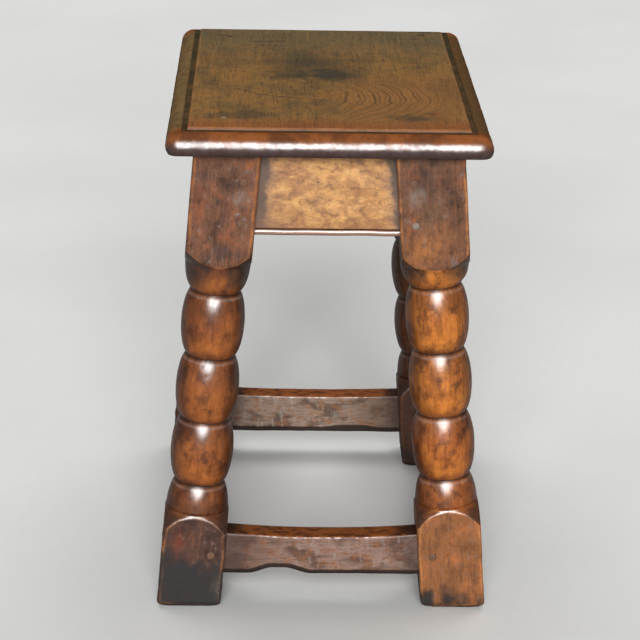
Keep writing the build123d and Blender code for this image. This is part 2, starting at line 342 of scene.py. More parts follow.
def square_reach(direction, half, arris):
    """How far a square with rounded corners reaches in a direction."""
    minor, major = sorted((abs(direction.x), abs(direction.y)))
    if half * minor / major <= half - arris:
        return half / major
    centre = half - arris
    along = centre * (major + minor)
    return along + math.sqrt(max(along * along - 2 * centre * centre + arris * arris, 0.0))


def foot_dirt(leg, point):
    """How dark a leg is near the floor, where it has been mopped round."""
    u, v, height = point
    rough = ripple(point, 9 * MM, leg.seed)
    height += rough * 10 * MM
    if leg.side < 0:
        depth = 0.97 if leg.end < 0 else 0.6
        ragged = 0.8 * ripple((u, v, height), 5 * MM, leg.seed) * 10 * MM
        return depth * blend(66 * MM, 32 * MM, height + 0.25 * u + ragged)
    left_corner = blend(13 * MM, 5 * MM, math.hypot(u + 26 * MM, height - 13 * MM))
    middle = blend(13 * MM, 3 * MM, math.hypot(u + 3 * MM, (height - 13 * MM) * 0.8))
    return max(0.95 * left_corner, 0.75 * middle, 0.6 * blend(22 * MM, 5 * MM, height))


def ring_facts(leg, turning, height):
    """What the points at one height share: radius, softness, foot, lean, worn corners and breadth."""
    short = max(leg.foot - height, 0.0)
    drawn_in = leg.foot - math.sqrt(leg.foot**2 - short**2)
    in_turning = blend(turning.low_apex - 3 * MM, turning.low_apex + 4 * MM, height)
    in_turning *= blend(turning.high_apex + 3 * MM, turning.high_apex - 4 * MM, height)
    soft = between(leg.soft, 0.4 * MM, in_turning)
    near_top = blend(turning.length - 80 * MM, turning.length - 40 * MM, height)
    level = max(blend(70 * MM, 30 * MM, height), near_top)
    worn = blend(turning.low_apex - 38 * MM, turning.low_apex - 12 * MM, height)
    worn *= blend(turning.high_apex + 34 * MM, turning.high_apex + 8 * MM, height)
    broad = leg.broad / HALF_SQUARE * blend(turning.last - 4 * MM, turning.last + 8 * MM, height)
    collar = blend(turning.last, turning.last + 9 * MM, height)
    collar *= blend(turning.high_apex + 8 * MM, turning.high_apex - 4 * MM, height)
    broad *= 1 + 2 * collar
    return turning.radius(height), soft, drawn_in, level, ARRIS_WEAR * worn, 1 + broad


def carve_leg(bm, sizes, leg, turning):
    """Moves a spun blank's points onto the square and turned wood, then leans them into place."""
    stock = bm.verts.layers.float_vector.new("stock")
    ledge = bm.verts.layers.float.new("ledge")
    flat = bm.verts.layers.float.new("flat")
    phase = bm.verts.layers.float.new("phase")
    dirt = bm.verts.layers.float.new("dirt")
    lean_cos, lean_sin = math.cos(sizes.splay), math.sin(sizes.splay)
    foot_x = foot_centre(sizes.splay)
    sharp_corner = HALF_SQUARE * math.sqrt(2)
    facts = {}
    for vert in bm.verts:
        height = vert.co.z
        if height not in facts:
            facts[height] = ring_facts(leg, turning, height)
        turned, soft, drawn_in, level, worn, broad = facts[height]
        share = math.hypot(vert.co.x, vert.co.y) / LEG_SQUARE
        angle = math.atan2(vert.co.y, vert.co.x)
        angle += CORNER_CROWD / 4 * math.sin(4 * angle)
        direction = Vector((math.cos(angle), math.sin(angle), 0))
        corner = Vector((math.copysign(1, direction.x), math.copysign(1, direction.y), height / (22 * MM)))
        arris = leg.arris * (1 + 0.35 * noise.noise(corner * 1.7 + Vector((leg.seed, 0, 0)))) + worn
        half = HALF_SQUARE - drawn_in
        face = square_reach(direction, half, arris + 1.4 * drawn_in)
        minor = min(abs(direction.x), abs(direction.y)) * face
        surface = direction * HALF_SQUARE + Vector((0, 0, height))
        wobble = 0.2 * MM * ripple(surface, 30 * MM, leg.seed) - 0.17 * MM
        dents = 0.5 * MM * max(ripple(surface, 8 * MM, leg.seed + 5) - 0.25, 0.0)
        reach = soft_min(face, turned, soft) + wobble - dents
        u, v = direction.x * reach * share * broad, direction.y * reach * share
        height -= leg.side * u * math.tan(sizes.splay) * level
        vert[stock] = Vector((u, v, height)) / MM
        vert[ledge] = (min(turned, sharp_corner) - face) / MM
        vert[flat] = min(half - arris - minor, height - leg.foot * 0.5) / MM
        vert[phase] = (height - turning.first) / turning.pitch
        vert[dirt] = foot_dirt(leg, (u, v, height)) if height < LEG_SQUARE * 2 else 0.0
        vert.co.x = leg.side * foot_x + u * lean_cos - leg.side * height * lean_sin
        vert.co.y = leg.end * LEG_Y + v
        vert.co.z = min(max(leg.side * u * lean_sin + height * lean_cos, 0.0), FRAME_TOP)


def build_leg(name, leg, sizes, material):
    turning = Turning(sizes, leg)
    bm = bmesh.new()
    heights = [0.0, *turning.heights(), turning.length]
    wire = [bm.verts.new((0, 0, 0))]
    wire += [bm.verts.new((LEG_SQUARE, 0, height)) for height in heights]
    wire.append(bm.verts.new((0, 0, turning.length)))
    edges = [bm.edges.new(pair) for pair in zip(wire, wire[1:])]
    divide(bm, edges[1:-1], LEG_PITCH)
    divide(bm, [edges[0], edges[-1]], CUT_PITCH)
    turn_outline(bm, LEG_STEPS)
    carve_leg(bm, sizes, leg, turning)
    return make_piece(bm, f"turned_leg_{name}", material, "leg_oak", f"leg_{name}")


# Seat


def seat_rings(seat):
    """The moulding from the field's edge down to the underside, as margins from the outline and heights."""
    top, bottom = seat_high.z, seat_low.z
    fillet = top - seat.field_step
    widest = fillet - seat.thumb_drop
    step = seat.thumb_width + seat.fillet_width
    rings = [(step + 2.2 * MM, top - 0.02 * MM), (step + 1.4 * MM, top - 0.12 * MM)]
    rings += [(step + 0.8 * MM, top - 0.35 * MM), (step + 0.35 * MM, top - 0.8 * MM)]
    rings += [(step, top - 1.5 * MM), (step - 0.3 * MM, top - 2.3 * MM), (step - 0.9 * MM, fillet)]
    rings += [(step - 2 * MM, fillet), (seat.thumb_width + 0.6 * MM, fillet - 0.1 * MM)]
    for i in range(1, 17):
        turn = math.radians(90 - 90 * i / 16)
        rings.append((seat.thumb_width * (1 - math.cos(turn)), widest + seat.thumb_drop * math.sin(turn)))
    for i in range(1, 8):
        turn = math.radians(90 * i / 7)
        rings.append((seat.under_round * (1 - math.cos(turn)), widest - (widest - bottom) * math.sin(turn)))
    return rings + [(seat.thumb_width, bottom), (5 * seat.thumb_width, bottom)]


def ring_place(plan, margin, corner, field):
    """Where a point of the field's edge goes on the ring at this margin from the outline."""
    half = Vector((seat_high.x - margin, seat_high.y - margin))
    x, y = abs(plan.x) * half.x / field.x, abs(plan.y) * half.y / field.y
    radius = max(corner - margin, 0.6 * MM)
    past = Vector((x - half.x + radius, y - half.y + radius))
    if past.x > 0 and past.y > 0 and past.length > radius:
        past *= radius / past.length
        x, y = half.x - radius + past.x, half.y - radius + past.y
    return math.copysign(x, plan.x), math.copysign(y, plan.y)


def build_seat(seat, material):
    bm = bmesh.new()
    step = seat.thumb_width + seat.fillet_width + 3 * MM
    field = Vector((seat_high.x - step, seat_high.y - step))
    columns, rows = round(field.x / MM), round(field.y / MM)
    bmesh.ops.create_grid(bm, x_segments=columns, y_segments=rows, size=1)
    bmesh.ops.scale(bm, verts=bm.verts, vec=(field.x, field.y, 1))
    bmesh.ops.translate(bm, verts=bm.verts, vec=(0, 0, seat_high.z))
    plan = bm.verts.layers.float_vector.new("plan")
    margin = bm.verts.layers.float.new("margin")
    for vert in bm.verts:
        vert[plan] = vert.co
        vert[margin] = min(seat_high.x - abs(vert.co.x), seat_high.y - abs(vert.co.y)) / MM
    loop = [edge for edge in bm.edges if edge.is_boundary]
    for inset, height in seat_rings(seat):
        points, loop = draw_out(bm, loop)
        for vert in points:
            vert.co.x, vert.co.y = ring_place(vert[plan], inset, seat.corner, field)
            vert.co.z = height
            vert[margin] = inset / MM
    bmesh.ops.pointmerge(bm, verts=points, merge_co=(0, 0, seat_low.z))
    wear_seat(bm, margin)
    bm.verts.layers.float_vector.remove(plan)
    return make_piece(bm, "moulded_seat", material, "seat_oak", "seat_board")


def wear_seat(bm, margin):
    """Hand-planed unevenness, a rubbed field and dents along the moulding."""
    for vert in bm.verts:
        point = vert.co.copy()
        if point.z < seat_low.z + 1 * MM:
            continue
        in_field = blend(19, 24, vert[margin])
        sag = unevenness(point, 0.75, (0.28 * MM, 70 * MM, 11), (0.08 * MM, 14 * MM, 12))
        vert.co.z += sag * (0.4 + 0.6 * in_field)
        inward = unevenness(point, 0.8, (0.3 * MM, 45 * MM, 13), (0.22 * MM, 9 * MM, 14))
        pits = 0.9 * MM * max(ripple(point, 5 * MM, 15) - 0.38, 0.0) * blend(10 * MM, 90 * MM, point.x)
        share = (inward - pits) * blend(24, 12, vert[margin])
        vert.co.x += math.copysign(1, point.x) * share * blend(30 * MM, 16 * MM, seat_high.x - abs(point.x))
        vert.co.y += math.copysign(1, point.y) * share * blend(30 * MM, 16 * MM, seat_high.y - abs(point.y))


# Rails


def inner_x(height, splay):
    """Half the width between the two legs of an end, at this height."""
    return foot_centre(splay) - height * math.tan(splay) - HALF_SQUARE / math.cos(splay)


def draw_bar(section, half_length, pitch):
    """A closed section drawn along X. Y runs out of the stool and Z up."""
    bm = bmesh.new()
    corners = [bm.verts.new((-half_length, out, up)) for out, up in section]
    edges = [bm.edges.new(pair) for pair in zip(corners, corners[1:] + corners[:1])]
    divide(bm, edges, pitch)
    first = loop = list(bm.edges)
    count = round(2 * half_length / pitch)
    for _ in range(count):
        points, loop = draw_out(bm, loop)
        bmesh.ops.translate(bm, verts=points, vec=(2 * half_length / count, 0, 0))
    for ring in (first, loop):
        bmesh.ops.contextual_create(bm, geom=ring)
    return bm


def round_edges(vert, low, high, radii):
    """Rounds the four long edges of a bar: radii by (out, up) side, each -1 or 1."""
    middle = (low + high) / 2
    half = (high - low) / 2
    out, up = vert.co.y - middle.x, vert.co.z - middle.y
    side = (1 if out > 0 else -1, 1 if up > 0 else -1)
    radius = radii.get(side, 0.0)
    past = Vector((abs(out) - half.x + radius, abs(up) - half.y + radius))
    if radius and past.x > 0 and past.y > 0 and past.length > radius:
        past *= radius / past.length
        vert.co.y = middle.x + side[0] * (half.x - radius + past.x)
        vert.co.z = middle.y + side[1] * (half.y - radius + past.y)


def mark_stock(bm, low, seed, half_length):
    """Keeps each point's place in the straight bar, for the grain, the dirt and the painted shade along its
    lower edge.
    """
    stock = bm.verts.layers.float_vector.new("stock")
    rise = bm.verts.layers.float.new("rise")
    run = bm.verts.layers.float.new("run")
    for vert in bm.verts:
        vert[stock] = vert.co / MM + Vector((seed * 211, seed * 37, seed * 83))
        vert[rise] = (vert.co.z - low) / MM
        vert[run] = vert.co.x / half_length


def add_tenons(bm, half_length, heights, face):
    """A tenon at each end of a bar, as closed blocks let into it. Gives their points."""
    low, high = heights
    start, stop = half_length - TENON_ROOT, half_length + TENON_LENGTH
    points = []
    for side in SIDES.values():
        centre = (side * (start + stop) / 2, face - TENON_THICKNESS / 2, (low + high) / 2)
        block = Matrix.Diagonal((stop - start, TENON_THICKNESS, high - low, 1))
        matrix = Matrix.Translation(centre) @ block
        points += bmesh.ops.create_cube(bm, size=1, matrix=matrix)["verts"]
    return points


def end_place(bm, end, splay, tenons, straight):
    """Turns a bar's ends to the lean of the legs and puts it across an end."""
    tenon_points = set(tenons)
    for vert in bm.verts:
        side = math.copysign(1, vert.co.x)
        shift = inner_x(vert.co.z, splay) - straight
        if vert in tenon_points:
            vert.co.x += side * shift
        else:
            vert.co.x *= (straight + shift) / straight
        vert.co.y *= end
        vert.co.x *= -end


def side_place(bm, side, splay):
    """Turns a bar along a side and leans it with the legs."""
    foot_x = foot_centre(splay)
    for vert in bm.verts:
        along, out, up = vert.co
        u = side * out
        vert.co.x = side * foot_x + u * math.cos(splay) - side * up * math.sin(splay)
        vert.co.y = along * side
        vert.co.z = min(side * u * math.sin(splay) + up * math.cos(splay), FRAME_TOP)


APRON_LOW = apron_low.z
APRON_RECESS = leg_high.y - apron_high.y
APRON_THICKNESS = apron_high.y - apron_low.y
STRETCHER_RECESS = leg_high.y - stretcher_high.y
STRETCHER_THICKNESS = stretcher_high.y - stretcher_low.y
APRON_PITCH = 2 * MM
STRETCHER_PITCH = 1.6 * MM
APRON_SEED, STRETCHER_SEED = 21, 31
TENON_LENGTH = 32 * MM
TENON_ROOT = 8 * MM  # how far its block starts inside the rail
TENON_THICKNESS = 9.5 * MM
APRON_TENON_CUTS = (3 * MM, 17 * MM)  # how much narrower than the rail it is, below and above
STRETCHER_TENON_CUT = 4 * MM
MORTISE_SETBACK = 10.5 * MM


def stretcher_levels(name):
    """Lower and upper edge of a stretcher. The side ones stand as high as the front one."""
    low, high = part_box(f"stretcher_{name if name in ENDS else 'front'}")
    return low.z, high.z


def rail_facts(name, splay, level):
    """The legs' face before it leans, how much longer the lean makes a height, and half a rail's length."""
    if name in ENDS:
        return END_FACE_Y, 1.0, inner_x(level, splay)
    return HALF_SQUARE, 1 / math.cos(splay), LEG_Y - HALF_SQUARE


def fit_rail(bm, name, splay, half_length, heights, tenon_face):
    """Adds a rail's tenons and sets it between its two legs."""
    tenons = add_tenons(bm, half_length, heights, tenon_face)
    if name in ENDS:
        end_place(bm, ENDS[name], splay, tenons, half_length)
    else:
        side_place(bm, SIDES[name], splay)


def apron_section(rails, face, low, high):
    """An apron's outline: back, lower edge, bead, quirk and face."""
    radius = rails.bead_radius
    outline = [(face - APRON_THICKNESS, high), (face - APRON_THICKNESS, low), (face - radius, low)]
    for i in range(1, 10):
        turn = math.radians(-90 + 20 * i - 10)
        outline.append((face - radius + radius * math.cos(turn), low + radius + radius * math.sin(turn)))
    groove = low + 2 * radius
    return outline + [(face - radius * 0.9, groove), (face, groove + rails.quirk_width), (face, high)]


def build_apron(name, rails, splay, material):
    seed = APRON_SEED + RAIL_NAMES.index(name)
    leg_face, stretch, half_length = rail_facts(name, splay, APRON_LOW)
    face = leg_face - APRON_RECESS
    low = APRON_LOW * stretch
    high = FRAME_TOP if name in ENDS else FRAME_TOP * stretch + HALF_SQUARE * math.tan(splay)
    bm = draw_bar(apron_section(rails, face, low, high), half_length, APRON_PITCH)
    mark_stock(bm, low, seed, half_length)
    for vert in bm.verts:
        point = vert.co.copy()
        planed = unevenness(point, 0.8, (0.35 * MM, 38 * MM, seed), (0.12 * MM, 8 * MM, seed))
        if point.y > face - APRON_THICKNESS / 2:
            vert.co.y += planed
        bead = blend(9 * MM, 5 * MM, point.z - low)
        vert.co.z += bead * 0.5 * MM * (ripple((point.x, 0, 0), 22 * MM, seed) + 1)
    heights = (low + APRON_TENON_CUTS[0], FRAME_TOP * stretch - APRON_TENON_CUTS[1])
    fit_rail(bm, name, splay, half_length, heights, leg_face - MORTISE_SETBACK)
    return make_piece(bm, f"beaded_apron_{name}", material, "apron_oak", f"apron_{name}")


def build_stretcher(name, rails, splay, material):
    seed = STRETCHER_SEED + RAIL_NAMES.index(name)
    low, high = stretcher_levels(name)
    leg_face, stretch, half_length = rail_facts(name, splay, low)
    low, high = low * stretch, high * stretch
    face = leg_face - STRETCHER_RECESS
    back = face - STRETCHER_THICKNESS
    outline = [(back, high), (back, low), (face, low), (face, high)]
    bm = draw_bar(outline, half_length, STRETCHER_PITCH)
    mark_stock(bm, low, seed, half_length)
    wear = {"front": rails.front_wear, "back": rails.back_wear}.get(name, rails.side_wear)
    lower_round = rails.stretcher_ease * (3.2 if name in ENDS else 1.6)
    for vert in bm.verts:
        point = vert.co.copy()
        along = point.x / half_length
        rub = 1 + 0.5 * ripple((point.x, point.y, 0), 25 * MM, seed)
        radii = {(1, 1): rails.stretcher_round * rub, (-1, 1): rails.stretcher_round}
        radii.update({(1, -1): lower_round, (-1, -1): rails.stretcher_ease})
        round_edges(vert, Vector((back, low)), Vector((face, high)), radii)
        share = (point.z - low) / (high - low)
        vert.co.z -= share * wear * (1 - along * along) * (0.9 + 0.1 * rub)
        if name == "front":
            chip = blend(-66 * MM, -44 * MM, point.x) * blend(-8 * MM, -34 * MM, point.x)
            front = blend(face - 14 * MM, face - 2 * MM, point.y)
            vert.co.z += (1 - share) ** 2 * MM * chip * (2.2 + 3.2 * front)
        vert.co.z += (1 - share) * 0.5 * MM * (ripple((point.x, 0, 0), 16 * MM, seed) + 0.8)
        if point.y > face - STRETCHER_THICKNESS / 2:
            vert.co.y += unevenness(point, 0.8, (0.5 * MM, 26 * MM, seed), (0.15 * MM, 7 * MM, seed))
    heights = (low + STRETCHER_TENON_CUT, high - STRETCHER_TENON_CUT)
    fit_rail(bm, name, splay, half_length, heights, leg_face - MORTISE_SETBACK)
    return make_piece(bm, f"worn_stretcher_{name}", material, "stretcher_oak", f"stretcher_{name}")


# Pegs

PEG_INSET = 13 * MM
PEG_LENGTH = 36 * MM
SEAT_PEG_LENGTH = 55 * MM
PEG_POINT = 6 * MM
PEG_STEPS = 28
RAIL_PEG_SEED, SEAT_PEG_SEED = 41, 61
APRON_PEG_HEIGHTS = (364.5 * MM, 401.5 * MM)
SEAT_PEG = Vector((90.4 * MM, 161.5 * MM))
PALE_PEGS = {("apron_front", 1, 0): 0.75, ("stretcher_front", -1, 0): 0.32}


def add_peg(bm, place, length, proud, radius, seed, tone):
    """A whittled peg, driven along the Z of its place."""
    peg = bmesh.new()
    shade = peg.verts.layers.float.new("tone")
    stock = peg.verts.layers.float_vector.new("stock")
    outline = [(0, -proud), (0.62, 0.1 * MM - proud), (0.9, 0.35 * MM - proud), (1, 1 * MM - proud)]
    outline += [(1, length - PEG_POINT), (0.6, length), (0, length)]
    wire = [peg.verts.new((radius * share, 0, depth)) for share, depth in outline]
    for pair in zip(wire, wire[1:]):
        peg.edges.new(pair)
    turn_outline(peg, PEG_STEPS)
    for vert in peg.verts:
        angle = math.atan2(vert.co.y, vert.co.x)
        facet = 1 - 0.07 * abs(math.sin(2.5 * angle + seed)) - 0.03 * abs(ripple(vert.co, 3 * MM, seed))
        vert[stock] = vert.co / MM + Vector((seed * 31, seed * 17, 0))
        rim = blend(0.8, 0.95, math.hypot(vert.co.x, vert.co.y) / radius)
        vert[shade] = tone - rim * (0.6 if tone > 0.2 else 0.25)
        vert.co.x *= facet
        vert.co.y *= facet
    peg.transform(place)
    mesh = bpy.data.meshes.new("peg")
    peg.to_mesh(mesh)
    peg.free()
    bm.from_mesh(mesh)
    bpy.data.meshes.remove(mesh)


def rail_peg_places(rail, name, splay):
    """Where a rail's pegs are driven, each with its side of the rail and its row."""
    heights = APRON_PEG_HEIGHTS
    if rail == "stretcher":
        low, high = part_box(f"pegs_stretcher_{name if name in ENDS else 'front'}")
        heights = ((low.z + high.z) / 2,)
    places = []
    for row, height in enumerate(heights):
        for along in (-1, 1):
            if name in ENDS:
                end = ENDS[name]
                point = Vector((along * (inner_x(height, splay) + PEG_INSET), end * END_FACE_Y, height))
                axes = Matrix(((1, 0, 0), (0, 0, -end), (0, end, 0)))
            else:
                side = SIDES[name]
                up = height / math.cos(splay)
                x = side * foot_centre(splay) + side * HALF_SQUARE * math.cos(splay)
                x -= side * up * math.sin(splay)
                z = HALF_SQUARE * math.sin(splay) + up * math.cos(splay)
                point = Vector((x, along * (LEG_Y - HALF_SQUARE + PEG_INSET), z))
                inward = Vector((-side * math.cos(splay), 0, -math.sin(splay)))
                across = Vector((0, 1, 0))
                axes = Matrix((across, inward.cross(across), inward)).transposed()
            places.append((Matrix.Translation(point) @ axes.to_4x4(), along, row))
    return places


def build_rail_pegs(rail, name, pegs, splay, material):
    bm = bmesh.new()
    seed = RAIL_PEG_SEED + len(rail) * 7 + RAIL_NAMES.index(name) * 5
    for place, along, row in rail_peg_places(rail, name, splay):
        seed += 1
        tone = PALE_PEGS.get((f"{rail}_{name}", along, row), 0.1 * ripple((seed, 0, 0), 1.3, 2))
        add_peg(bm, place, PEG_LENGTH, pegs.proud, pegs.radius, seed, tone)
    return make_piece(bm, f"oak_pegs_{rail}_{name}", material, "peg_oak", f"pegs_{rail}_{name}")


def build_seat_pegs(pegs, material):
    bm = bmesh.new()
    tones = {(-1, -1): 0.6, (1, -1): 0.1, (-1, 1): -0.3, (1, 1): -0.15}
    upside_down = Matrix.Rotation(math.pi, 4, "X")
    for (side, end), tone in tones.items():
        place = Matrix.Translation((side * SEAT_PEG.x, end * SEAT_PEG.y, seat_high.z))
        seed = SEAT_PEG_SEED + side + 3 * end
        add_peg(bm, place @ upside_down, SEAT_PEG_LENGTH, 0.0, pegs.radius, seed, tone)
    return make_piece(bm, "oak_pegs_seat", material, "peg_oak", "pegs_seat")


# Finishes

GRAIN_DEPTH = 0.15 * MM
END_GRAIN_DEPTH = 0.5 * MM
DUST_DEPTH = 0.2 * MM


class Term:
    """A value in a finish, so that masks are written as sums."""

    def __init__(self, finish, socket):
        self.finish = finish
        self.socket = socket

    def __add__(self, other):
        return self.finish.maths("ADD", self, other)

    def __radd__(self, other):
        return self.finish.maths("ADD", other, self)

    def __sub__(self, other):
        return self.finish.maths("SUBTRACT", self, other)

    def __rsub__(self, other):
        return self.finish.maths("SUBTRACT", other, self)

    def __mul__(self, other):
        return self.finish.maths("MULTIPLY", self, other)

    def __rmul__(self, other):
        return self.finish.maths("MULTIPLY", other, self)

    def __abs__(self):
        return self.finish.maths("ABSOLUTE", self)


class Finish:
    """A material under construction."""

    def __init__(self, name, owner=None):
        self.owner = owner or bpy.data.materials.new(name)
        self.owner.use_nodes = True
        self.tree = self.owner.node_tree
        self.tree.nodes.clear()

    def node(self, kind, settings=None, values=None):
        """Adds a node: its settings first, then the values or links of its sockets."""
        made = self.tree.nodes.new(kind)
        for name, value in (settings or {}).items():
            setattr(made, name, value)
        for name, value in (values or {}).items():
            if isinstance(value, Term):
                self.tree.links.new(value.socket, made.inputs[name])
            else:
                made.inputs[name].default_value = value
        return made

    def term(self, node, output=0):
        return Term(self, node.outputs[output])

    def maths(self, operation, *values, clamp=False):
        settings = {"operation": operation, "use_clamp": clamp}
        return self.term(self.node("ShaderNodeMath", settings, dict(enumerate(values))))

    def largest(self, first, *others):
        for other in others:
            first = self.maths("MAXIMUM", first, other)
        return first

    def vector(self, operation, *values):
        """Vector maths. Lengths and products come out as values."""
        node = self.node("ShaderNodeVectorMath", {"operation": operation}, dict(enumerate(values)))
        return self.term(node, "Value" if operation in ("LENGTH", "DOT_PRODUCT") else "Vector")

    def mix(self, first, second, share, kind="MIX"):
        """Colours, from the first to the second."""
        settings = {"data_type": "RGBA", "blend_type": kind, "clamp_factor": True}
        pair = [value if isinstance(value, Term) else (*value[:3], 1.0) for value in (first, second)]
        return self.term(self.node("ShaderNodeMix", settings, {0: share, 6: pair[0], 7: pair[1]}), 2)

    def layers(self, base, *rows):
        """Lays colours over a base in order.

        A row is a colour and its share. In place of a share there may be a value, its start and its stop,
        and then the most that the colour covers.
        """
        for tint, share, *span in rows:
            if span:
                share = self.rise(share, *span[:2])
            if len(span) == 3:
                share = share * span[2]
            base = self.mix(base, tint, share)
        return base

    def rise(self, value, start, stop, low=0.0, high=1.0):
        """Low up to start, high from stop, and smooth between them. Start may be the larger."""
        settings = {"interpolation_type": "SMOOTHSTEP"}
        if start > stop:
            start, stop, low, high = stop, start, high, low
        values = {"Value": value, "From Min": start, "From Max": stop, "To Min": low, "To Max": high}
        return self.term(self.node("ShaderNodeMapRange", settings, values))

    def band(self, value, start, stop, soft):
        """1 between two values."""
        return self.rise(value, start - soft, start + soft) * self.rise(value, stop + soft, stop - soft)

    def noise(self, point, size, detail=2.0, roughness=0.5, seed=0.0, twist=0.0):
        """Cloudy noise about 0.5, with clouds of this size along each axis."""
        sizes = size if isinstance(size, tuple) else (size, size, size)
        offset = (seed, seed * 0.37, seed * 1.9)
        scaled = self.vector("MULTIPLY_ADD", point, tuple(1 / value for value in sizes), offset)
        values = {"Vector": scaled, "Scale": 1.0, "Detail": detail, "Roughness": roughness}
        values["Distortion"] = twist
        return self.term(self.node("ShaderNodeTexNoise", None, values))

    def warp(self, point, size, reach):
        """The point pushed about by coloured noise, by up to about half the reach."""
        scaled = self.vector("MULTIPLY", point, (1 / size,) * 3)
        clouds = self.node("ShaderNodeTexNoise", None, {"Vector": scaled, "Scale": 1.0, "Detail": 2.0})
        back = self.vector("SUBTRACT", point, tuple(each / 2 for each in reach))
        return self.vector("MULTIPLY_ADD", self.term(clouds, "Color"), reach, back)

    def attribute(self, name, output="Fac"):
        return self.term(self.node("ShaderNodeAttribute", {"attribute_name": name}), output)

    def parts(self, vector):
        node = self.node("ShaderNodeSeparateXYZ", None, {0: vector})
        return [self.term(node, i) for i in range(3)]

    def millimetres(self):
        """Object coordinates in millimetres."""
        place = self.term(self.node("ShaderNodeTexCoord"), "Object")
        return self.vector("MULTIPLY", place, (1000, 1000, 1000))

    def upward(self):
        """How much a surface looks up."""
        return self.parts(self.term(self.node("ShaderNodeNewGeometry"), "Normal"))[2]

    def spot(self, point, centre, radii, soft=0.5):
        """1 inside an ellipsoid and 0 outside it."""
        offset = self.vector("SUBTRACT", point, centre)
        scaled = self.vector("MULTIPLY", offset, tuple(1 / radius for radius in radii))
        return self.rise(self.vector("LENGTH", scaled), 1 + soft, 1 - soft)

    def stroke(self, point, start, stop, width):
        """1 along a scratch between two points of a plan."""
        run = Vector(stop) - Vector(start)
        offset = self.vector("SUBTRACT", point, start)
        along = self.vector("DOT_PRODUCT", offset, tuple(run))
        share = self.maths("MULTIPLY", along, 1 / run.length_squared, clamp=True)
        node = self.node("ShaderNodeVectorMath", {"operation": "SCALE"}, {0: tuple(run), "Scale": share})
        gap = self.vector("LENGTH", self.vector("SUBTRACT", offset, self.term(node, "Vector")))
        return self.rise(gap, width, width * 0.35)

    def close(self, base, rough, relief, depth, coat=0.0, specular=0.5, polish=(0.2, 1.6)):
        """Joins colour, roughness, a relief of this depth and a share of polish to the surface.

        The polish is its roughness and its index of refraction.
        """
        bump = self.node("ShaderNodeBump", None, {"Height": relief, "Strength": 1.0, "Distance": depth})
        values = {"Base Color": base, "Roughness": rough, "Normal": self.term(bump)}
        values.update({"Specular IOR Level": specular, "Coat Weight": coat})
        values.update({"Coat Roughness": polish[0], "Coat IOR": polish[1]})
        surface = self.node("ShaderNodeBsdfPrincipled", None, values)
        self.node("ShaderNodeOutputMaterial", None, {"Surface": self.term(surface)})
        return self.owner


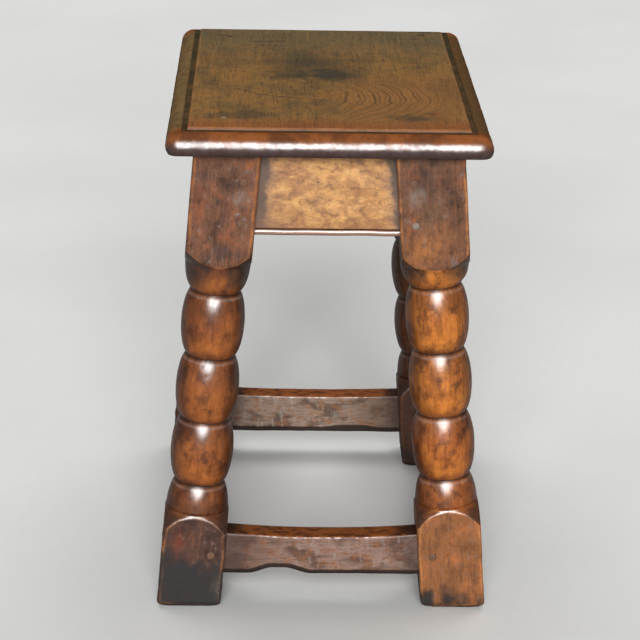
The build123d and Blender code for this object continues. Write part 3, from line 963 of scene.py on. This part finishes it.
def seat_finish(seat):
    finish = Finish("seat_wax")
    point = finish.millimetres()
    x, y, z = finish.parts(point)
    top = seat_high.z / MM
    margin = finish.attribute("margin")
    tone = finish.noise(point, (50, 60, 50), 3, 0.55, 1)
    patch = finish.noise(point, (20, 26, 20), 3, 0.6, 2)
    dapple = finish.noise(point, (7, 9, 7), 3, 0.6, 9)
    fibre = finish.noise(point, (1.1, 22, 1.1), 3, 0.6, 3)
    ribbon = finish.noise(point, (3.4, 70, 3.4), 3, 0.6, 8)
    pores = finish.noise(point, (0.5, 5.5, 0.5), 1, 0.5, 4)
    speck = finish.noise(point, (2.4, 3.2, 2.4), 2, 0.6, 5)
    base = finish.mix(seat.shaded_wood, seat.wood, finish.rise(tone, 0.34, 0.6))
    base = finish.layers(
        base,
        ((0.38, 0.165, 0.040), patch, 0.48, 0.66, 0.55),
        ((0.12, 0.074, 0.028), patch, 0.44, 0.3, 0.5),
        ((0.12, 0.070, 0.026), dapple, 0.5, 0.68, 0.5),
        ((0.32, 0.125, 0.030), finish.rise(x, -10, 90) * finish.rise(y, 60, -60) * 0.45),
        ((0.13, 0.108, 0.052), y, 30, 170, 0.7),
        (seat.warm_wood, y, -150, -190, 0.75),
    )
    swirl = finish.noise(point, (34, 50, 34), 2, 0.5, 6)
    bend = y + 86
    bow = x + bend * bend * 0.0065 + swirl * 24
    rings = finish.maths("SINE", bow * 1.35) * 0.7 + finish.maths("SINE", bow * 0.5) * 0.4
    rays = finish.rise(rings, -0.1, 0.8)
    figure = finish.spot(point, (52, -98, top), (50, 82, 40), 0.45)
    plain = 1 - figure * 0.75
    base = finish.layers(
        base,
        ((0.38, 0.165, 0.045), figure * 0.45),
        ((0.095, 0.050, 0.020), rays * figure * finish.rise(patch, 0.3, 0.6, 0.35, 0.72)),
        ((0.40, 0.19, 0.055), finish.rise(ribbon, 0.46, 0.3) * plain * 0.3),
        ((0.09, 0.056, 0.024), finish.rise(ribbon, 0.52, 0.7) * plain * 0.35),
        ((0.06, 0.036, 0.018), finish.rise(fibre, 0.48, 0.7) * plain * 0.55),
    )
    warped = finish.warp(point, 24, (50, 50, 0))
    stain = finish.largest(
        finish.spot(warped, (-8, 2, top), (44, 22, 40), 0.6),
        finish.spot(warped, (-14, 46, top), (36, 38, 40), 0.8) * 0.75,
        finish.spot(warped, (72, -158, top), (20, 11, 40), 0.5) * 0.7,
        finish.spot(warped, (-78, -152, top), (30, 11, 40), 0.6) * 0.6,
    )
    base = finish.layers(
        base,
        (seat.stain, stain * finish.rise(patch, 0.25, 0.6, 0.5, 0.86)),
        ((0.03, 0.022, 0.014), pores, 0.58, 0.72, 0.6),
        ((0.05, 0.03, 0.018), speck, 0.64, 0.76, 0.45),
    )
    marks = finish.stroke(point, (-67, 140, top), (-37, 142, top), 1.6)
    for start, stop in (((-80, -55), (-58, -77)), ((-58, -77), (-30, -88)), ((-30, -88), (-5, -96))):
        marks = finish.largest(marks, finish.stroke(point, (*start, top), (*stop, top), 1.2) * 0.8)
    for centre in ((-58, 122), (-52, 124), (-46, 120)):
        marks = finish.largest(marks, finish.spot(point, (*centre, top), (1.4, 1.8, 20), 0.4))
    peg = finish.spot(warped, (95, -137, top), (7, 6, 40), 0.4)
    base = finish.mix(base, (0.30, 0.085, 0.035), peg * 0.6)
    for centre in ((-92, 167), (98, 187), (90, -139)):
        marks = finish.largest(marks, finish.spot(warped, (*centre, top), (6, 4.5, 40), 0.5) * 0.55)
    marks = marks * finish.rise(margin, 19.5, 21)
    base = finish.mix(base, (0.02, 0.016, 0.012), marks * 0.9)
    # Lighter band on the field's rounded edge: rubbed wear, with a painted highlight along it.
    edge = finish.band(margin, 19.2, 21.0, 0.8) * finish.rise(patch, 0.35, 0.65, 0.25, 0.9)
    base = finish.mix(base, (0.46, 0.20, 0.07), edge * 0.6)
    thumb = finish.mix((0.27, 0.083, 0.020), (0.14, 0.046, 0.015), finish.rise(patch, 0.38, 0.62))
    beside = finish.rise(abs(x), 118, 128) * finish.rise(abs(y), 198, 184)
    olive = finish.mix((0.20, 0.132, 0.056), (0.12, 0.068, 0.026), finish.rise(x, -50, 50))
    olive = finish.mix(olive, (0.07, 0.052, 0.026), finish.rise(dapple, 0.45, 0.65) * 0.6)
    thumb = finish.layers(
        thumb,
        (olive, beside * 0.88),
        # Painted shade and reflection: the nosing below its widest line turns a dark, dull purplish brown.
        ((0.070, 0.042, 0.040), z, 442, 434, 0.95),
        ((0.05, 0.03, 0.022), fibre, 0.55, 0.75, 0.35),
        ((0.04, 0.024, 0.02), speck, 0.58, 0.72, 0.5),
    )
    base = finish.mix(base, (0.90, 0.895, 0.88), 1.0, "MULTIPLY")
    # A faint bluish grey added over the field is a painted sheen, standing in for the room's reflection in
    # the wax.
    base = finish.mix(base, (0.010, 0.013, 0.015), 1.0, "ADD")
    base = finish.mix(thumb, base, finish.rise(margin, 14, 15.2))
    # Dark band along the fillet and the step: grime held in the hollow, with painted shade where the step
    # faces away from the light.
    grime = finish.band(margin + dapple * 1.2, 13.9, 19.4, 0.9)
    base = finish.mix(base, (0.034, 0.028, 0.016), grime * finish.rise(patch, 0.3, 0.62, 0.95, 0.72))
    rough = finish.rise(tone, 0.3, 0.7, 0.34, 0.46) + grime * 0.2
    relief = fibre * 0.5 - pores * 0.4 + speck * 0.5 + dapple * 0.8 - marks * 3
    gloss = finish.rise(margin, 22, 15) * finish.rise(dapple, 0.35, 0.6, 1.0, 0.45)
    coat = gloss * (1 - grime) * (1 - beside * 0.9)
    coat = coat * finish.rise(z, 430, 435, 0.6, 1.0) * finish.rise(z, 445, 440, 0.25, 1.0)
    return finish.close(base, rough, relief, GRAIN_DEPTH, finish.largest(coat, 0.05), 0.0, (0.3, 1.9))


Look = namedtuple("Look", "amber glow lift upper lower calm rubbed rim collar grime marks")
# A mark has its place and reach in millimetres. It lies on the leg's front face unless v says otherwise.
Mark = namedtuple("Mark", "u height wide tall tint most v deep", defaults=(-29, 20))
SOOT, PALE, ROSE = (0.035, 0.015, 0.010), (0.34, 0.26, 0.21), (0.36, 0.10, 0.035)
LOOKS = {
    "front_left": Look(
        amber=(0.34, 0.096, 0.021), glow=(0.57, 0.175, 0.034), lift=0.0, upper=(0.20, 0.086, 0.048),
        lower=(0.100, 0.050, 0.037), calm=0.8, rubbed=(0.46, 0.175, 0.06), rim=1.1, collar=0.75, grime=0.6,
        marks=(
            Mark(-1, 384, 4, 4, SOOT, 0.9), Mark(-2, 400, 3.5, 9, SOOT, 0.7),
            Mark(14, 389, 6, 7, PALE, 0.45), Mark(5, 341, 13, 6, (0.075, 0.050, 0.048), 0.55),
            Mark(5, 354, 7, 5, ROSE, 0.6), Mark(11, 348, 6, 4, ROSE, 0.5), Mark(-20, 381, 5, 16, ROSE, 0.5),
            Mark(13.6, 375, 1.6, 1.8, PALE, 0.8), Mark(22, 389, 1.6, 2, PALE, 0.7),
            Mark(-14, 62, 5, 14, (0.20, 0.045, 0.022), 0.8), Mark(24, 24, 5, 11, PALE, 0.3, -22, 9),
        ),
    ),
    "front_right": Look(
        amber=(0.48, 0.131, 0.023), glow=(0.84, 0.28, 0.041), lift=0.35, upper=(0.215, 0.092, 0.048),
        lower=(0.355, 0.136, 0.050), calm=0.6, rubbed=(0.60, 0.25, 0.08), rim=0.7, collar=0.35, grime=0.5,
        marks=(
            Mark(-8, 404, 20, 20, (0.10, 0.062, 0.055), 0.4),
            Mark(3, 350, 20, 15, (0.42, 0.165, 0.052), 0.5),
            Mark(13, 404, 11, 9, SOOT, 0.6), Mark(-12, 408, 10, 9, SOOT, 0.65),
            Mark(20, 370, 5, 22, SOOT, 0.5), Mark(-12, 344, 14, 12, (0.52, 0.19, 0.045), 0.6),
            Mark(-9, 352, 1.5, 5, PALE, 0.5), Mark(-2, 376, 9, 8, (0.17, 0.12, 0.05), 0.4),
            Mark(-15, 392, 7, 9, PALE, 0.45),
            Mark(-25, 17, 5, 6, SOOT, 0.9), Mark(-3.5, 15, 9, 8, SOOT, 0.5), Mark(18, 12, 6, 6, SOOT, 0.5),
            Mark(0, 286, 3, 3, SOOT, 0.6, -28), Mark(-4.5, 163, 9, 1.5, SOOT, 0.5, -28),
        ),
    ),
    # The back legs' looks are darker copies of the front ones: painted shade.
    "back_left": Look(
        amber=(0.26, 0.075, 0.018), glow=(0.38, 0.12, 0.026), lift=0.1, upper=(0.15, 0.072, 0.045),
        lower=(0.12, 0.060, 0.042), calm=0.8, rubbed=(0.38, 0.15, 0.06), rim=1.2, collar=0.6, grime=0.5,
        marks=(),
    ),
    "back_right": Look(
        amber=(0.25, 0.072, 0.018), glow=(0.36, 0.12, 0.026), lift=0.1, upper=(0.14, 0.068, 0.042),
        lower=(0.15, 0.066, 0.040), calm=0.6, rubbed=(0.38, 0.16, 0.06), rim=1.1, collar=0.6, grime=0.5,
        marks=(),
    ),
}


def leg_finish(name, legs, leg, look):
    finish = Finish(f"leg_wax_{name}")
    point = finish.attribute("stock", "Vector")
    u, v, height = finish.parts(point)
    ledge, flat, phase, dirt = (finish.attribute(each) for each in ("ledge", "flat", "phase", "dirt"))
    seed = leg.seed * 13.7
    tone = finish.noise(point, (26, 26, 50), 2, 0.5, seed + 1)
    patch = finish.noise(point, (9, 9, 14), 3, 0.55, seed + 2)
    streak = finish.noise(point, (2.6, 2.6, 46), 3, 0.55, seed + 3)
    fibre = finish.noise(point, (0.8, 0.8, 18), 2, 0.6, seed + 4)
    pores = finish.noise(point, (0.5, 0.5, 5), 1, 0.5, seed + 5)
    speck = finish.noise(point, (2.2, 2.2, 3), 2, 0.6, seed + 6)
    cloud = finish.noise(point, (15, 15, 19), 3, 0.6, seed + 7)
    bruise = finish.noise(point, (5, 5, 7), 3, 0.6, seed + 8)
    # the turning
    turned = finish.mix(legs.umber, look.amber, finish.rise(tone, 0.3, 0.54))
    side, inner = abs(u), v * leg.end
    turned = finish.layers(
        turned,
        (look.glow, finish.rise(patch, 0.44, 0.7) * 0.45 + finish.rise(phase, 0.7, 1.5) * look.lift),
        ((0.085, 0.022, 0.007), cloud, 0.47, 0.64, 0.72),
        ((0.07, 0.018, 0.006), streak, 0.48, 0.7, 0.42),
        ((0.05, 0.014, 0.006), fibre, 0.54, 0.76, 0.3),
    )
    in_run = finish.band(phase, -0.42, 3.42, 0.02)
    offset = (finish.maths("FRACT", phase + 0.5) - 0.5) * 60
    gap = abs(offset)
    # Painted shade: the turning darkens near each groove, over the top of each bobbin under its groove, and
    # on the collars.
    painted_crown_shade = finish.rise(offset, -26, -6) * finish.rise(offset, 0.5, -0.5)
    painted_crown_shade = painted_crown_shade * finish.rise(patch, 0.3, 0.6, 0.75, 0.45)
    shade = finish.largest(finish.rise(gap, 9, 1) * 0.5, painted_crown_shade) * in_run
    collar = (1 - finish.band(phase, -0.2, 3.14, 0.12)) * look.collar
    shade = finish.largest(shade, collar) * finish.rise(bruise, 0.3, 0.6, 1.0, 0.7)
    turned = finish.mix(turned, (0.052, 0.019, 0.011), shade)
    # Painted light: the lower middle of each bobbin's front and back is brightened to the glow colour.
    painted_belly_light = finish.band(offset, 7, 20, 6) * in_run * finish.rise(side, 24, 6)
    turned = finish.layers(
        turned,
        (look.glow, painted_belly_light * finish.rise(patch, 0.3, 0.6) * 0.6),
        # Painted shade: the turning darkens towards its sides.
        ((0.026, 0.008, 0.004), finish.rise(side, 12, 26) * look.grime),
    )
    # Painted shade: the corners of the shoulder cones next to the blocks are darkened.
    cone = finish.rise(abs(u * v), 130, 300) * (1 - finish.band(phase, -0.5, 3.15, 0.1))
    turned = finish.layers(
        turned,
        ((0.040, 0.024, 0.018), cone * finish.rise(bruise, 0.3, 0.55, 0.9, 0.6)),
        ((0.022, 0.010, 0.007), finish.rise(gap, 1.7, 0.5) * in_run * 0.75),
    )
    # Painted highlight: a pale grey band just under each groove, where a bobbin's top catches the light.
    painted_lip_highlight = finish.band(offset, -4.2, -2.2, 0.7) * in_run * finish.rise(patch, 0.3, 0.6, 0.3, 1.0)
    turned = finish.mix(turned, (0.36, 0.25, 0.21), painted_lip_highlight * 0.4)
    # the blocks
    mopped = finish.rise(dirt + (streak - 0.5) * 0.7, 0.12, 0.85)
    block = finish.mix(look.lower, look.upper, finish.rise(height, 150, 250))
    mottle = finish.rise(height, 150, 250, look.calm, 1.0)
    block = finish.mix(block, (0.36, 0.38, 0.42), finish.rise(cloud, 0.5, 0.7) * mottle * 0.85, "MULTIPLY")
    block = finish.mix(block, (1.9, 1.5, 1.1), finish.rise(cloud, 0.48, 0.3) * mottle * 0.8, "MULTIPLY")
    block = finish.mix(block, (0.5, 0.47, 0.5), finish.rise(bruise, 0.52, 0.7) * mottle * 0.65, "MULTIPLY")
    block = finish.layers(
        block,
        # Pale grey-mauve patches: mottling of the wood, with a painted sheen of the wax.
        ((0.27, 0.20, 0.18), finish.rise(bruise, 0.42, 0.3) * mottle * 0.55),
        ((0.36, 0.14, 0.05), streak, 0.54, 0.72, 0.4),
        ((0.07, 0.036, 0.024), streak, 0.46, 0.3, 0.35),
        ((0.05, 0.028, 0.020), fibre, 0.5, 0.72, 0.4),
        ((0.036, 0.033, 0.032), mopped * finish.rise(patch, 0.2, 0.6, 0.85, 1.0)),
    )
    base = finish.mix(turned, block, finish.rise(ledge, -0.2, 0.8))
    # what both have
    margin = finish.maths("MINIMUM", flat, ledge)
    rim = finish.rise(ledge, -0.6, 0.3) * finish.band(margin, -1.1, look.rim, 0.7) * (1 - dirt * 0.8)
    worn = finish.rise(cloud, 0.6, 0.38, 0.22, 1.0) * finish.rise(bruise, 0.62, 0.4, 0.5, 1.0)
    base = finish.layers(
        base,
        (look.rubbed, rim * worn * 0.95),
        ((0.024, 0.012, 0.008), pores, 0.6, 0.74, 0.45),
        ((0.03, 0.014, 0.010), speck, 0.62, 0.74, 0.5),
        # Painted shade: the faces turned to the inside of the stool are darker.
        ((0.030, 0.014, 0.009), inner, 4, -22, 0.6),
    )
    warped = finish.warp(finish.warp(point, 9, (9, 0, 11)), 2.5, (2, 0, 2)) if look.marks else None
    broken = finish.rise(bruise, 0.62, 0.42, 0.35, 1.0) * finish.rise(streak, 0.62, 0.45, 0.55, 1.0)
    for mark in look.marks:
        place = (mark.u, mark.v, mark.height)
        spot = finish.spot(warped, place, (mark.wide, mark.deep, mark.tall), 0.75)
        base = finish.mix(base, mark.tint, spot * broken * mark.most)
    on_block = finish.rise(ledge, -0.4, 1.0)
    rough = finish.rise(patch, 0.3, 0.7, 0.38, 0.48) - rim * 0.06 + dirt * 0.1
    relief = fibre * 0.25 - pores * 0.2 + bruise * 0.3 + on_block * (speck * 0.9 + patch * 0.9)
    coat = (0.92 - on_block * 0.82 + rim * 0.25) * finish.rise(streak, 0.3, 0.7, 1.0, 0.65)
    coat = coat * (1 - dirt * 0.6)
    return finish.close(base, rough, relief, GRAIN_DEPTH, coat, 0.16)


def apron_finish(rails):
    finish = Finish("apron_wax")
    point = finish.attribute("stock", "Vector")
    rise, run = finish.attribute("rise"), finish.attribute("run")
    tone = finish.noise(point, (34, 20, 20), 2, 0.5, 1)
    patch = finish.noise(point, (17, 12, 12), 3, 0.6, 2, 0.4)
    blotch = finish.noise(point, (11, 7.5, 7.5), 3, 0.55, 7, 0.6)
    fibre = finish.noise(point, (18, 1, 1), 3, 0.6, 3)
    pores = finish.noise(point, (5, 0.5, 0.5), 1, 0.5, 4)
    speck = finish.noise(point, (2.6, 2.2, 2.2), 2, 0.6, 5)
    base = finish.mix(rails.gold, (0.55, 0.265, 0.105), finish.rise(tone, 0.46, 0.66))
    base = finish.layers(
        base,
        (rails.brown, patch, 0.46, 0.66, 0.6),
        ((0.90, 0.52, 0.20), blotch, 0.5, 0.3, 0.65),
        ((0.27, 0.130, 0.070), blotch, 0.5, 0.7, 0.75),
        ((0.24, 0.12, 0.075), fibre, 0.52, 0.74, 0.2),
        ((0.14, 0.07, 0.05), speck, 0.6, 0.72, 0.55),
        ((0.34, 0.14, 0.06), finish.rise(rise, 26, 8) * finish.rise(patch, 0.35, 0.6) * 0.7),
    )
    side = abs(run)
    reach = side + patch * 0.16 + blotch * 0.1 - 0.13 - run * 0.035
    base = finish.layers(
        base,
        ((0.33, 0.19, 0.125), reach, 0.74, 0.9, 0.6),
        ((0.13, 0.092, 0.075), reach, 0.86, 0.94, 0.88),
        ((0.26, 0.14, 0.09), finish.rise(rise, 34, 6) * finish.rise(run, -0.3, -0.9) * 0.7),
    )
    corner = finish.rise(run * 62 + rise * 0.5, 83, 88) * finish.rise(rise, 40, 50)
    base = finish.mix(base, (0.09, 0.065, 0.055), corner * 0.75)
    quirk = finish.band(rise, 5.4, 7.4, 0.5)
    bead = finish.rise(rise, 6.0, 5.2)
    base = finish.layers(
        base,
        ((0.40, 0.24, 0.18), bead * 0.8),
        ((0.04, 0.024, 0.018), quirk * 0.9),
        ((0.03, 0.018, 0.012), pores, 0.6, 0.74, 0.4),
    )
    rough = finish.rise(patch, 0.3, 0.7, 0.38, 0.5)
    relief = fibre * 0.3 - pores * 0.3 + speck * 0.8 + patch * 1.2
    return finish.close(base, rough, relief, GRAIN_DEPTH, bead, 0.2)


def stretcher_finish(rails):
    finish = Finish("stretcher_wax")
    point = finish.attribute("stock", "Vector")
    rise, run = finish.attribute("rise"), finish.attribute("run")
    up = finish.upward()
    tone = finish.noise(point, (30, 16, 16), 3, 0.55, 1)
    patch = finish.noise(point, (11, 7, 7), 4, 0.62, 2, 0.3)
    bands = finish.noise(point, (5, 14, 14), 3, 0.6, 6)
    fibre = finish.noise(point, (26, 1, 1), 3, 0.6, 3)
    pores = finish.noise(point, (5, 0.5, 0.5), 1, 0.5, 4)
    speck = finish.noise(point, (2.6, 2, 2), 2, 0.6, 5)
    face = finish.mix(rails.mauve, (0.10, 0.055, 0.042), finish.rise(tone, 0.46, 0.62) * 0.8)
    face = finish.layers(
        face,
        ((0.33, 0.130, 0.058), patch, 0.48, 0.64, 0.75),
        ((0.40, 0.30, 0.26), finish.rise(bands, 0.52, 0.68) * finish.rise(run, -0.7, -0.1) * 0.55),
        ((0.13, 0.072, 0.054), finish.rise(run + patch * 0.5, 0.0, -0.6) * 0.55),
        ((0.055, 0.030, 0.024), fibre, 0.48, 0.7, 0.5),
    )
    # Painted light: the back stretcher's face is lighter and greyer than the front one's.
    painted_light_at_back = finish.rise(finish.parts(finish.millimetres())[1], 140, 150)
    face = finish.mix(face, (1.16, 1.3, 1.27), painted_light_at_back, "MULTIPLY")
    ends = finish.rise(abs(run) + patch * 0.2 - 0.1, 0.72, 0.95)
    face = finish.mix(face, (0.075, 0.052, 0.044), ends * 0.65)
    top = finish.mix(rails.rust, (0.07, 0.020, 0.008), finish.rise(patch, 0.44, 0.62) * 0.8)
    top = finish.mix(top, (0.022, 0.011, 0.007), ends * 0.9)
    base = finish.mix(face, top, finish.rise(up, 0.45, 0.85))
    # Painted highlight: pinkish patches along the rounded upper arris, away from the ends. The same mask
    # adds polish there.
    painted_arris_highlight = finish.band(up, 0.3, 0.66, 0.12) * finish.rise(bands, 0.44, 0.62)
    painted_arris_highlight = painted_arris_highlight * finish.rise(abs(run), 0.85, 0.4)
    base = finish.mix(base, (0.60, 0.32, 0.21), painted_arris_highlight * 0.5)
    # Painted shade: surfaces that face down, and a band along the lower edge of the face that widens over
    # the worn hollow, are darkened to stand in for the shadow under the stretcher.
    hollow = finish.band(run, -0.66, -0.2, 0.12)
    painted_lower_edge_shade = finish.rise(rise - hollow * 2.4 + patch * 1.5, 7.2, 5.6)
    below = finish.largest(finish.rise(up, -0.1, -0.38), painted_lower_edge_shade)
    base = finish.layers(
        base,
        ((0.024, 0.017, 0.015), below * 0.92),
        ((0.03, 0.018, 0.014), pores, 0.6, 0.74, 0.5),
        ((0.04, 0.024, 0.02), speck, 0.6, 0.72, 0.5),
    )
    rough = finish.rise(patch, 0.3, 0.7, 0.34, 0.46)
    relief = fibre * 0.35 - pores * 0.3 + speck * 0.9 + patch * 1.2
    coat = finish.band(up, 0.25, 0.65, 0.12) * (0.06 + painted_arris_highlight * 0.7)
    return finish.close(base, rough, relief, GRAIN_DEPTH, coat, 0.1)


def peg_finish(pegs):
    finish = Finish("peg_wax")
    point = finish.attribute("stock", "Vector")
    tone = finish.attribute("tone")
    grain = finish.noise(point, (1.1, 2.2, 20), 3, 0.6, 1)
    speck = finish.noise(point, 0.8, 2, 0.6, 2)
    base = finish.mix(pegs.wood, (0.10, 0.05, 0.032), finish.rise(grain, 0.42, 0.66) * 0.7)
    base = finish.layers(
        base,
        ((0.36, 0.30, 0.24), finish.rise(tone, 0.2, 0.9) * finish.rise(speck, 0.7, 0.4, 0.5, 1.0)),
        ((0.03, 0.02, 0.014), tone, -0.05, -0.35, 0.8),
        ((0.04, 0.025, 0.018), speck, 0.55, 0.72, 0.4),
    )
    rough = finish.rise(speck, 0.3, 0.7, 0.4, 0.52)
    return finish.close(base, rough, grain * 0.5 + speck * 0.5, END_GRAIN_DEPTH, 0.0, 0.1)


def floor_finish(stage):
    finish = Finish("plain_floor")
    point = finish.millimetres()
    cloud = finish.noise(point, 420, 3, 0.5, 1)
    dust = finish.noise(point, 9, 3, 0.6, 2)
    shares = (0.94, 0.97, stage.matt)
    duller, dull, matt = (tuple(value * share for value in stage.floor) for share in shares)
    base = finish.layers(stage.floor, (duller, cloud, 0.35, 0.65), (dull, dust, 0.4, 0.6, 0.5))
    seen = finish.term(finish.node("ShaderNodeLightPath"), "Is Camera Ray")
    base = finish.mix(matt, base, seen)
    rough = finish.rise(cloud, 0.3, 0.7, 0.62, 0.7)
    return finish.close(base, rough, dust, DUST_DEPTH, 0.0, 0.0)


# Stage

# The camera looks down on the front end from a little left of its middle, about 2 m away and 1 m up
CAMERA_PLACE = Vector((-0.053496, -2.167816, 0.962628))
CAMERA_PITCH = 0.33412
CAMERA_YAW = 0.02437
CAMERA_ROLL = 0.01821
CAMERA_LENS = 134.71
SENSOR_WIDTH = 36.0
FLOOR_REACH = 8  # metres from the middle to each side


def place_camera():
    pitch, yaw, roll = CAMERA_PITCH, CAMERA_YAW, CAMERA_ROLL
    ahead = Vector((math.sin(yaw) * math.cos(pitch), math.cos(yaw) * math.cos(pitch), -math.sin(pitch)))
    level = Vector((math.cos(yaw), -math.sin(yaw), 0))
    above = level.cross(ahead)
    right = level * math.cos(roll) + above * math.sin(roll)
    up = above * math.cos(roll) - level * math.sin(roll)
    camera = bpy.data.objects.new("camera", bpy.data.cameras.new("camera"))
    camera.data.lens = CAMERA_LENS
    camera.data.sensor_width = SENSOR_WIDTH
    axes = Matrix((right, up, -ahead)).transposed()
    camera.matrix_world = Matrix.Translation(CAMERA_PLACE) @ axes.to_4x4()
    bpy.context.scene.collection.objects.link(camera)
    bpy.context.scene.camera = camera


def add_sun(name, azimuth, elevation, strength, softness, lights=True, shines=True):
    """A soft distant light. Azimuth 0 is the front, and it grows towards the right side."""
    light = bpy.data.lights.new(name, "SUN")
    light.energy = strength * math.pi
    light.angle = math.radians(softness)
    lamp = bpy.data.objects.new(name, light)
    lamp.visible_diffuse, lamp.visible_glossy = lights, shines
    azimuth, elevation = math.radians(azimuth), math.radians(elevation)
    level = math.cos(elevation)
    towards = Vector((math.sin(azimuth) * level, -math.cos(azimuth) * level, math.sin(elevation)))
    aim = towards.to_track_quat("Z", "Y").to_matrix().to_4x4()
    lamp.matrix_world = Matrix.Translation(towards * 3) @ aim
    bpy.context.scene.collection.objects.link(lamp)


def light_world(strength):
    world = bpy.data.worlds.new("soft_room")
    sky = Finish("soft_room", world)
    white = {"Color": (1.0, 1.0, 1.0, 1.0), "Strength": strength}
    background = sky.node("ShaderNodeBackground", None, white)
    sky.node("ShaderNodeOutputWorld", None, {"Surface": sky.term(background)})
    bpy.context.scene.world = world


def build_floor(stage):
    bm = bmesh.new()
    bmesh.ops.create_grid(bm, x_segments=1, y_segments=1, size=FLOOR_REACH)
    mesh = bpy.data.meshes.new("floor")
    bm.to_mesh(mesh)
    bm.free()
    mesh.materials.append(floor_finish(stage))
    floor = bpy.data.objects.new("floor", mesh)
    bpy.context.scene.collection.objects.link(floor)


# Operators


class STOOL_OT_seat(bpy.types.Operator):
    """Build the moulded seat board."""

    bl_idname = "stool.seat"
    bl_label = "Build Seat"

    def execute(self, context):
        seat = context.scene.stool.seat
        build_seat(seat, seat_finish(seat))
        return {"FINISHED"}


class STOOL_OT_legs(bpy.types.Operator):
    """Build the four turned legs."""

    bl_idname = "stool.legs"
    bl_label = "Build Legs"

    def execute(self, context):
        legs = context.scene.stool.legs
        for name, leg in LEGS.items():
            build_leg(name, leg, legs, leg_finish(name, legs, leg, LOOKS[name]))
        return {"FINISHED"}


class STOOL_OT_aprons(bpy.types.Operator):
    """Build the four beaded aprons under the seat."""

    bl_idname = "stool.aprons"
    bl_label = "Build Aprons"

    def execute(self, context):
        settings = context.scene.stool
        material = apron_finish(settings.rails)
        for name in RAIL_NAMES:
            build_apron(name, settings.rails, settings.legs.splay, material)
        return {"FINISHED"}


class STOOL_OT_stretchers(bpy.types.Operator):
    """Build the four worn stretchers near the floor."""

    bl_idname = "stool.stretchers"
    bl_label = "Build Stretchers"

    def execute(self, context):
        settings = context.scene.stool
        material = stretcher_finish(settings.rails)
        for name in RAIL_NAMES:
            build_stretcher(name, settings.rails, settings.legs.splay, material)
        return {"FINISHED"}


class STOOL_OT_pegs(bpy.types.Operator):
    """Build the pegs of the joints and of the seat."""

    bl_idname = "stool.pegs"
    bl_label = "Build Pegs"

    def execute(self, context):
        settings = context.scene.stool
        material = peg_finish(settings.pegs)
        for rail in ("apron", "stretcher"):
            for name in RAIL_NAMES:
                build_rail_pegs(rail, name, settings.pegs, settings.legs.splay, material)
        build_seat_pegs(settings.pegs, material)
        return {"FINISHED"}


class STOOL_OT_stage(bpy.types.Operator):
    """Set out the floor, the light and the camera."""

    bl_idname = "stool.stage"
    bl_label = "Set Stage"

    def execute(self, context):
        stage = context.scene.stool.stage
        build_floor(stage)
        light_world(stage.sky)
        add_sun("key", azimuth=-1, elevation=24, strength=stage.key, softness=30)
        add_sun("gleam", azimuth=-1, elevation=26, strength=stage.gleam, softness=50, lights=False)
        for name, azimuth in (("left_fill", -140), ("right_fill", 140)):
            add_sun(name, azimuth, elevation=66, strength=stage.fill, softness=30, shines=False)
        place_camera()
        context.scene.view_settings.view_transform = "Standard"
        return {"FINISHED"}


class STOOL_PT_panel(bpy.types.Panel):
    """The stool's builders and their sizes and colours."""

    bl_idname = "STOOL_PT_panel"
    bl_label = "Joint Stool"
    bl_space_type = "VIEW_3D"
    bl_region_type = "UI"
    bl_category = "Stool"

    def draw(self, context):
        settings = context.scene.stool
        builders = {"rails": ("aprons", "stretchers")}
        for group in ("seat", "legs", "rails", "pegs", "stage"):
            box = self.layout.box()
            owner = getattr(settings, group)
            for name in owner.__annotations__:
                box.prop(owner, name)
            for builder in builders.get(group, (group,)):
                box.operator(f"stool.{builder}")


CLASSES = (
    StoolSeat,
    StoolLegs,
    StoolRails,
    StoolPegs,
    StoolStage,
    StoolSettings,
    STOOL_OT_seat,
    STOOL_OT_legs,
    STOOL_OT_aprons,
    STOOL_OT_stretchers,
    STOOL_OT_pegs,
    STOOL_OT_stage,
    STOOL_PT_panel,
)


def register():
    for each in CLASSES:
        bpy.utils.register_class(each)
    bpy.types.Scene.stool = PointerProperty(name="Joint stool", type=StoolSettings)


def unregister():
    del bpy.types.Scene.stool
    for each in reversed(CLASSES):
        bpy.utils.unregister_class(each)


def main():
    register()
    bpy.ops.stool.stage()
    bpy.ops.stool.seat()
    bpy.ops.stool.legs()
    bpy.ops.stool.aprons()
    bpy.ops.stool.stretchers()
    bpy.ops.stool.pegs()


if __name__ == "__main__":
    main()
